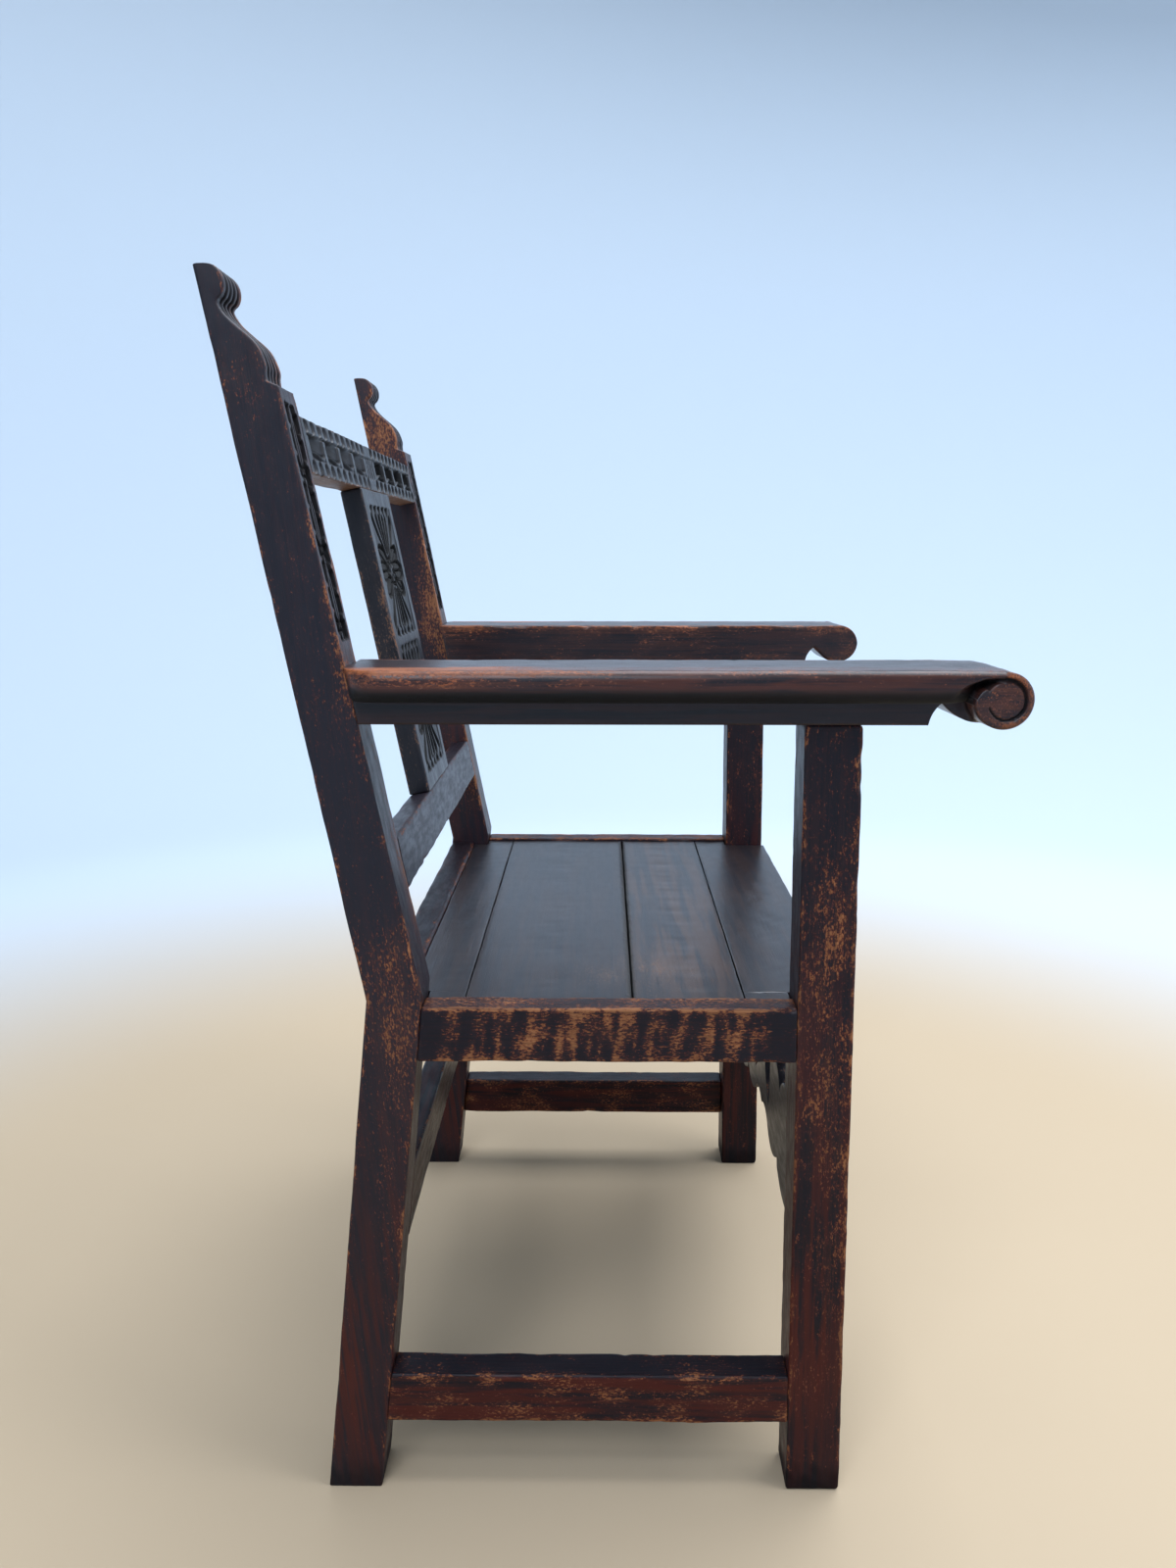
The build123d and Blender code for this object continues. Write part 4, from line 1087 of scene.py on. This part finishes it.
def arm_sections(y, seed):
    """Closed section at each y, as (|x|, z), and how far its points are from the nearest arris."""
    top, under, lip_low = arm_top(y), arm_underside(y), lip_underside(y)
    # The lip ends at the post in a quarter round, seen from above.
    plan = unit((y - (ARM_BACK - LIP_CORNER)) / LIP_CORNER)
    reach = ARM_OUTER - LIP_CORNER * (1 - np.sqrt(1 - plan ** 2))
    shrink = (reach - HALF_WIDTH) / (ARM_OUTER - HALF_WIDTH)
    radius = worn_radii(y, ARM_ARRIS, seed)
    rows = []
    far = []

    def put(x, z, gap):
        shape = np.zeros_like(y)
        rows.append(np.stack([x + shape, z + shape], 1))
        far.append(gap + shape)
    height = top - under
    r_in = np.minimum(radius[:, 0], 0.3 * height)
    r_low = np.minimum(radius[:, 1] * 0.6, 0.3 * height)
    for f in (0.02, 0.2, 0.4, 0.6, 0.8, 0.98):
        z = under + r_low + f * (height - r_low - r_in)
        put(ARM_INNER, z, np.minimum(z - under, top - z))
    for k in range(5):
        a = math.radians(180 - 22.5 * k)
        put(ARM_INNER + r_in * (1 + math.cos(a)), top - r_in * (1 - math.sin(a)), 0)
    lip_start = ARM_OUTER - LIP_R
    start = np.minimum(lip_start, HALF_WIDTH + (lip_start - HALF_WIDTH) * shrink)
    for f in np.linspace(0.06, 0.94, 12):
        x = ARM_INNER + r_in + f * (start - ARM_INNER - r_in)
        put(x, top, np.minimum(x - ARM_INNER, FAR))
    for k in range(LIP_STEPS + 1):
        f = 0.5 - 0.5 * math.cos(math.pi * k / LIP_STEPS)
        z = top - f * (top - lip_low)
        x = arm_side(y, np.clip(z, lip_low + 1e-6, top))
        put(HALF_WIDTH + (x - HALF_WIDTH) * shrink, z, FAR)
    edge = HALF_WIDTH + (arm_side(y, lip_low + 1e-6) - HALF_WIDTH) * shrink
    square = smooth((y - (SCROLL_Y + 0.010)) / 0.008)
    rail_high = HALF_WIDTH + 0.0022 - 0.0020 * square
    rail_low = HALF_WIDTH - 0.0020 + 0.0018 * square
    for f in (0.3, 0.6, 1.0):
        put(edge + f * (rail_high - edge), lip_low, FAR)
    for f in (0.1, 0.35, 0.65, 0.9):
        z = lip_low + f * (under - lip_low)
        put(rail_high + f * (rail_low - rail_high), z, np.abs(z - under))
    for f in np.linspace(0.0, 1.0, 9):
        put(rail_low + f * (ARM_INNER + r_low - rail_low), under, 0.0 if f in (0.0, 1.0) else 0.01)
    put(ARM_INNER + 0.3 * r_low, under + 0.3 * r_low, 0)
    return np.stack(rows, 1), np.stack(far, 1)


def arm(name, s, seed):
    """A flat arm with a half-round outer lip that ends in a scroll."""
    y = arm_stations()
    section, gap = arm_sections(y, seed)
    x, z = section[..., 0], section[..., 1]
    top, lip_low = arm_top(y)[:, None], lip_underside(y)[:, None]
    shorter = LEFT_SHORTER if s > 0 else 0.0
    if s > 0:
        y = y + LEFT_SHORTER * smooth((HOLLOW_Y - 0.002 - y) / 0.028)
        y = y + LEFT_HOLLOW * smooth((y + 0.262) / 0.022) * smooth((-0.19 - y) / 0.03)
    # The rear end leans with the post that it meets.
    rake = smooth((y - (ARM_BACK - RAKE_REACH)) / RAKE_REACH)[:, None]
    to_post = (z - ARM_MIDDLE) * math.tan(RAKE)
    points = np.stack([x, y[:, None] + rake * to_post, z], -1)
    bumps = 0.00030 * wobble(points, 0.06, seed) + 0.00012 * wobble(points, 0.014, seed + 1)
    points[..., 2] -= np.where(z > top - 0.0005, 0.00045 + bumps, 0)
    points[..., 0] *= s

    on_lip = x > HALF_WIDTH + 0.003
    level = (z - lip_low) / (top - lip_low)
    at_y = y[:, None] - shorter
    from_centre, angle = scroll_polar(at_y, z)
    on_end = from_centre < face_reach(angle)
    # Painted shade: darker in the recess behind the scroll, along the underside of the lip, over the lip's
    # lower half and in the scroll's spiral line.
    under_lip = (np.abs(z - lip_low) < 0.0015) & (x > HALF_WIDTH + 0.001)
    low_lip = on_lip * smooth((0.55 - level) / 0.35)
    beside_end = np.maximum(recess(at_y, z) * on_lip, np.maximum(0.8 * under_lip, low_lip)) * ~on_end
    shade_and_grime = np.maximum(beside_end, on_lip * on_end * spiral_cut(at_y, z))
    band = score(from_centre - 0.0182, 0.003, 1) * band_share(at_y, z)
    wear = arm_wear(points, section, level, on_lip, on_end, band)
    red = 0.25 + 0.65 * on_lip * smooth((level - 0.25) / 0.3)
    return make_piece(f"arm_{name}_carved", [f"arm_{name}"], points, loft_faces(*points.shape[:2]),
                      (0, 1, 0), seed, np.exp(-gap / 0.0022), shade_and_grime, wear, arm_wood, red,
                      grain_shift=2.0 * np.minimum(points[..., 1] + 0.245, 0))


def arm_wear(points, section, level, on_lip, on_end, band):
    """The lip's upper half is rubbed brown, most of all near its rear end and round the scroll."""
    y = points[..., 1]
    upper = smooth((level - 0.20) / 0.4) * on_lip * (1 + 0.5 * smooth((level - 0.80) / 0.10))
    amount = upper * (0.24 + 0.38 * bell(y - 0.14, 0.07))
    amount = np.maximum(amount, on_lip * on_end * (0.36 + 0.38 * band))
    top = (~on_lip) & (section[..., 1] > ARM_TOP - 0.004)
    amount = np.maximum(amount, 0.16 * top)
    inner = section[..., 0] < ARM_INNER + 0.003
    patches = 0.10 * smooth(0.5 + 1.8 * wobble(points, 0.05, 12))
    rubbed_edge = 0.14 * smooth((section[..., 1] - 0.690) / 0.01)
    return np.maximum(amount, inner * (0.18 + patches + rubbed_edge))


# ---- seat
SEAT_CLEARANCE = 0.0008
BOARD_HALF = RAIL_INNER - SEAT_CLEARANCE
NOTCH_HALF = POST_INNER - SEAT_CLEARANCE
NOTCH_STEP = 0.0004
# By board: how far its lower front edge reaches under the next one.
JOINT_LAPS = {1: 0.0012, 2: 0.0030, 3: 0.0012, 4: 0.0}
MAIN_JOINT = (2, 3)         # boards on each side of the open, broken joint
BREAKS = 44


def seam_shade(points, seams):
    """Dirt in the joints between the boards: (y of the joint, whether it is the open one)."""
    total = np.zeros(points.shape[:-1])
    for at, is_open in seams:
        share, reach = (1.0, 0.0020) if is_open else (0.3, 0.0006)
        total = np.maximum(total, share * bell(points[..., 1] - at, reach))
    return total


def broken_edge(number, length):
    """Dents along the arris that a board turns to the open joint."""
    if number not in MAIN_JOINT:
        return ()
    rng = np.random.default_rng(60 + number)
    places = rng.uniform(0, length, BREAKS)
    reaches = rng.uniform(0.0012, 0.0035, BREAKS)
    sizes = rng.uniform(0.0004, 0.0016, BREAKS)
    return [(MAIN_JOINT.index(number), *dent) for dent in zip(places, reaches, sizes)]


def board_section(number, low, high, x):
    """Four corners of a board's section. Boards 1 and 4 are notched round the posts and legs."""
    rear, front = high.y, low.y
    outside = abs(x) > NOTCH_HALF - 0.5 * NOTCH_STEP
    if outside and number == 1:
        rear = post_front(high.z) - SEAT_CLEARANCE
    if outside and number == 4:
        front = leg_rear(high.z) + SEAT_CLEARANCE
    return ((x, front, high.z), (x, rear, high.z), (x, rear, low.z),
            (x, front - JOINT_LAPS[number], low.z))


def seat_boards():
    """Boards side to side, numbered from the back."""
    notch = BOARD_HALF - NOTCH_HALF
    wide = 2 * BOARD_HALF
    place = stations(wide, 0.005, extra=[notch, notch + NOTCH_STEP, BOARD_HALF + NOTCH_HALF - NOTCH_STEP,
                                         BOARD_HALF + NOTCH_HALF])
    for number in range(1, 5):
        low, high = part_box(f"seat_board_{number}")
        quads = [board_section(number, low, high, x) for x in place - BOARD_HALF]
        seams = [(low.y, number == MAIN_JOINT[0])] if number < 4 else []
        seams += [(high.y, number == MAIN_JOINT[1])] if number > 1 else []
        member(f"board_{number}", [f"seat_board_{number}"], place, quads, (1, 0.004 * number, 0),
               80 + number, seat_wood, arris_r=0.0003, counts=(34, 5, 6, 5), chips=4, flat=0.00025,
               dents=broken_edge(number, wide), grime=lambda points: seam_shade(points, seams),
               wear=blobs(((-0.20, -0.05, 0.431), (0.10, 0.06, 0.1), 0.35),
                          ((-0.22, 0.03, 0.431), (0.05, 0.05, 0.1), 0.22), base=0.02),
               red=blobs(base=0.9 if number == MAIN_JOINT[1] else 0.3))


# ---- pierced apron
APRON_TOP = 0.368
APRON_HALF = LEG_INNER
# In millimetres: spacing of points along the edges and over the face, and the edges' rounding.
APRON_STEP = 1.2
APRON_GRID = 1.8
APRON_ROUND = 1.4
LEAF = ((50.0, 231.0), (19.0, 264.0), (9.0, 312.0), (28.5, 340.0), (48.0, 312.0), (55.0, 272.0))
WINDOW = ((88.0, 298.0), (88.0, 320.0), (119.0, 347.0), (150.0, 320.0), (150.0, 298.0), (131.0, 293.0),
          (119.0, 279.0), (107.0, 293.0))


def arc(a, b, c, step=APRON_STEP):
    """Points on the circle through a, b and c, from a up to but not including c."""
    ax, ay, bx, by, cx, cy = *a, *b, *c
    d = 2 * (ax * (by - cy) + bx * (cy - ay) + cx * (ay - by))
    sq = [x * x + y * y for x, y in (a, b, c)]
    ux = (sq[0] * (by - cy) + sq[1] * (cy - ay) + sq[2] * (ay - by)) / d
    uy = (sq[0] * (cx - bx) + sq[1] * (ax - cx) + sq[2] * (bx - ax)) / d
    r = math.hypot(ax - ux, ay - uy)
    angles = np.unwrap([math.atan2(y - uy, x - ux) for x, y in (a, b, c)])
    if (angles[1] - angles[0]) * (angles[2] - angles[1]) < 0:
        angles[2] += math.copysign(2 * math.pi, angles[1] - angles[0])
    count = max(2, int(abs(angles[2] - angles[0]) * r / step))
    turns = np.linspace(angles[0], angles[2], count + 1)[:-1]
    return [(ux + r * math.cos(t), uy + r * math.sin(t)) for t in turns]


def line(a, b, step=APRON_STEP):
    count = max(1, int(math.dist(a, b) / step))
    return [(a[0] + (b[0] - a[0]) * k / count, a[1] + (b[1] - a[1]) * k / count) for k in range(count)]


def apron_loops():
    """Outer outline and the four piercings, as (x, z) in millimetres."""
    half = APRON_HALF / MM
    top = APRON_TOP / MM
    scallop = rounded_path(((half, 178), (200, 186), (150, 187), (117, 198)), APRON_STEP)
    right = [tuple(p) for p in scallop[:-1]] + line((117, 198), (113, 209))
    right += arc((113, 209), (82, 196), (46, 209)) + arc((46, 209), (24, 217), (0, 211))
    left = [(-x, z) for x, z in right[1:]][::-1]
    outer = right + [(0.0, 211.0)] + left + line((-half, 178), (-half, top))
    outer += line((-half, top), (half, top)) + line((half, top), (half, 178))
    loops = [outer]
    for s in (-1, 1):
        leaf = [(s * x, z) for x, z in LEAF]
        loops.append(arc(*leaf[:3]) + arc(*leaf[2:5]) + arc(leaf[4], leaf[5], leaf[0]))
        w = [(s * x, z) for x, z in WINDOW]
        upper = line(w[0], w[1]) + arc(*w[1:4]) + line(w[3], w[4])
        loops.append(upper + arc(*w[4:7]) + arc(w[6], w[7], w[0]))
    return [np.array(loop) for loop in loops]


def signed_distance(points, loops):
    """Distance to the nearest outline, positive inside the wood."""
    best = np.full(len(points), 1e9)
    inside = np.zeros(len(points), bool)
    for loop in loops:
        a, b = loop, np.roll(loop, -1, axis=0)
        for (ax, ay), (bx, by) in zip(a, b):
            dx, dy = bx - ax, by - ay
            t = unit(((points[:, 0] - ax) * dx + (points[:, 1] - ay) * dy) / (dx * dx + dy * dy))
            best = np.minimum(best, np.hypot(points[:, 0] - ax - t * dx, points[:, 1] - ay - t * dy))
            crosses = (ay > points[:, 1]) != (by > points[:, 1])
            if dy:
                inside ^= crosses & (points[:, 0] < ax + dx * (points[:, 1] - ay) / dy)
    return np.where(inside, best, -best)


def apron_face(loops):
    """Triangles over the wood inside the outlines, with close rows of points along each edge."""
    grid_x, grid_z = np.meshgrid(np.arange(-255, 256, APRON_GRID), np.arange(179, 368, APRON_GRID))
    inner = np.stack([grid_x.ravel(), grid_z.ravel()], 1)
    inner = inner[signed_distance(inner, loops) > 1.5]
    rings = []
    edges = []
    start = 0
    for loop in loops:
        along = np.roll(loop, -1, axis=0) - np.roll(loop, 1, axis=0)
        normal = np.stack([-along[:, 1], along[:, 0]], 1)
        normal /= np.linalg.norm(normal, axis=1, keepdims=True)
        for gap in (0.35, 0.9):
            for sign in (-1, 1):
                moved = loop + sign * gap * normal
                rings.append(moved[signed_distance(moved, loops) > 0.9 * gap])
        count = len(loop)
        edges += [(start + k, start + (k + 1) % count) for k in range(count)]
        start += count
    flat = np.concatenate(loops + rings + [inner])
    verts, _, faces, *_ = delaunay_2d_cdt([Vector(p) for p in flat], edges, [], 0, 1e-5)
    verts = np.array(verts)
    faces = np.array(faces)
    faces = faces[signed_distance(verts[faces].mean(1), loops) > 0]
    used = np.unique(faces)
    renumber = np.full(len(verts), -1)
    renumber[used] = np.arange(len(used))
    return verts[used], renumber[faces]


def apron():
    """Pierced board: a carved front and a flat rear face, both with rounded edges."""
    loops = apron_loops()
    verts, faces = apron_face(loops)
    count = len(verts)
    depth_in = np.clip(signed_distance(verts, loops), 0, None)
    rounding = np.clip(APRON_ROUND - depth_in, 0, None)
    drop = APRON_ROUND - np.sqrt(np.clip(APRON_ROUND ** 2 - rounding ** 2, 0, None))
    cut = apron_carving(verts[:, 0], verts[:, 1], loops)
    front_y = APRON_BOX[0].y + (drop + cut + 0.25) * MM
    back_y = np.full(count, APRON_BOX[1].y) - drop * 0.6 * MM
    points = np.concatenate([np.stack([verts[:, 0] * MM, y, verts[:, 1] * MM], 1)
                             for y in (front_y, back_y)])
    all_faces = [tuple(f) for f in faces] + [tuple(f[::-1] + count) for f in faces]
    sides = dict.fromkeys((f[k], f[(k + 1) % 3]) for f in faces for k in range(3))
    all_faces += [(b, a, a + count, b + count) for a, b in sides if (b, a) not in sides]
    edge = np.exp(-depth_in / 2.0)
    # Painted shade in the carved lines of the front face. The rear face gets none.
    hollow = np.concatenate([cut / 3.0, cut * 0])
    make_piece("pierced_apron", ["front_apron"], points, [tuple(int(i) for i in f) for f in all_faces],
               (1, 0, 0), 91, np.tile(edge, 2), hollow, blobs(base=0.15)(points), carved_wood)


def apron_carving(x, z, loops):
    """A line cut round each piercing, and one that follows the lower edge."""
    points = np.stack([x, z], 1)
    from_holes = np.abs(signed_distance(points, loops[1:]))
    from_outline = signed_distance(points, loops[:1])
    lower = (z < 345) & (np.abs(x) < 245)
    return np.maximum(1.8 * score(from_holes - 7.0, 1.5), 1.8 * score(from_outline - 9.0, 1.5) * lower)


# ---- studio
def backdrop_material():
    """Pale warm floor that turns to pale blue up the wall."""
    n = Nodes("backdrop")
    place = n.add("ShaderNodeTexCoord").outputs["Object"]
    from_middle = n.add("ShaderNodeVectorMath", operation="LENGTH")
    n.put(place, from_middle.inputs[0])
    floor, wall = (0.44, 0.34, 0.23, 1), (0.56, 0.63, 0.70, 1)
    n.surface("Base Color", n.mix(n.ramp(from_middle.outputs["Value"], 0.8, 2.2), floor, wall))
    n.surface("Roughness", 0.9)
    n.surface("Specular IOR Level", 0.1)
    return n.material


def cove(radius=4.0, lift=3.2, bend=1.6, segments=96, steps=16):
    """Round floor whose rim curves up into a wall, so that the backdrop has no edge."""
    profile = [(0.0, 0.0), (radius - bend, 0.0)]
    for i in range(1, steps + 1):
        a = 0.5 * math.pi * i / steps
        profile.append((radius - bend + bend * math.sin(a), bend - bend * math.cos(a)))
    profile.append((radius, lift))
    turns = [2 * math.pi * k / segments for k in range(segments)]
    verts = [(r * math.cos(a), r * math.sin(a), z) for r, z in profile for a in turns]
    faces = []
    for i in range(len(profile) - 1):
        for k in range(segments):
            a = i * segments + k
            b = i * segments + (k + 1) % segments
            faces.append((a, b, b + segments, a + segments))
    mesh = bpy.data.meshes.new("floor")
    mesh.from_pydata(verts, [], faces)
    build = bmesh.new()
    build.from_mesh(mesh)
    bmesh.ops.remove_doubles(build, verts=build.verts, dist=1e-6)
    build.to_mesh(mesh)
    build.free()
    mesh.shade_smooth()
    mesh.materials.append(backdrop_material())
    add_object("floor", mesh)


def area_light(name, place, target, size, watts, colour):
    data = bpy.data.lights.new(name, "AREA")
    data.shape = "RECTANGLE"
    data.size, data.size_y = size
    data.energy = watts
    data.color = colour
    lamp = add_object(name, data)
    lamp.location = place
    lamp.rotation_euler = (Vector(target) - Vector(place)).to_track_quat("-Z", "Y").to_euler()


EYE = (-1.194, 0.0115, 0.7853)
YAW = math.radians(-0.665)
PITCH = math.radians(10.83)         # downwards


def camera():
    """At the photograph's viewing angle: beside the chair's right arm, tilted down a little."""
    data = bpy.data.cameras.new("camera")
    data.sensor_fit = "VERTICAL"
    data.sensor_height = 36.0
    data.lens = 27.43
    data.clip_end = 50.0
    forward = Vector((math.cos(YAW) * math.cos(PITCH), -math.sin(YAW) * math.cos(PITCH), -math.sin(PITCH)))
    right = forward.cross(Vector((0, 0, 1))).normalized()
    turn = Matrix((right, right.cross(forward), -forward)).transposed()
    eye = add_object("camera", data)
    eye.matrix_world = Matrix.Translation(EYE) @ turn.to_4x4()
    bpy.context.scene.camera = eye


def world():
    sky = bpy.data.worlds.new("studio")
    sky.use_nodes = True
    light = sky.node_tree.nodes["Background"]
    light.inputs["Color"].default_value = (0.72, 0.84, 1.0, 1)
    light.inputs["Strength"].default_value = 0.42
    bpy.context.scene.world = sky


cove()
world()
area_light("overhead", (0.6, -0.7, 3.0), (0.6, 0, 0.5), (3.0, 2.6), 165, (0.84, 0.91, 1.0))
area_light("front_fill", (-0.9, -2.8, 1.8), (0, 0, 0.6), (1.8, 1.6), 34, (0.90, 0.94, 1.0))
area_light("high_side", (-2.4, 0.6, 2.7), (0, 0, 0.8), (1.6, 1.6), 70, (0.78, 0.87, 1.0))
camera()
bpy.context.scene.view_settings.view_transform = "Standard"

front_legs()
lengthwise_rails()
crosswise_rails()
rear_posts()
crest()
splat()
arm("left", 1, 71)
arm("right", -1, 75)
seat_boards()
apron()
show_cad("cleat_nails", iron_material())
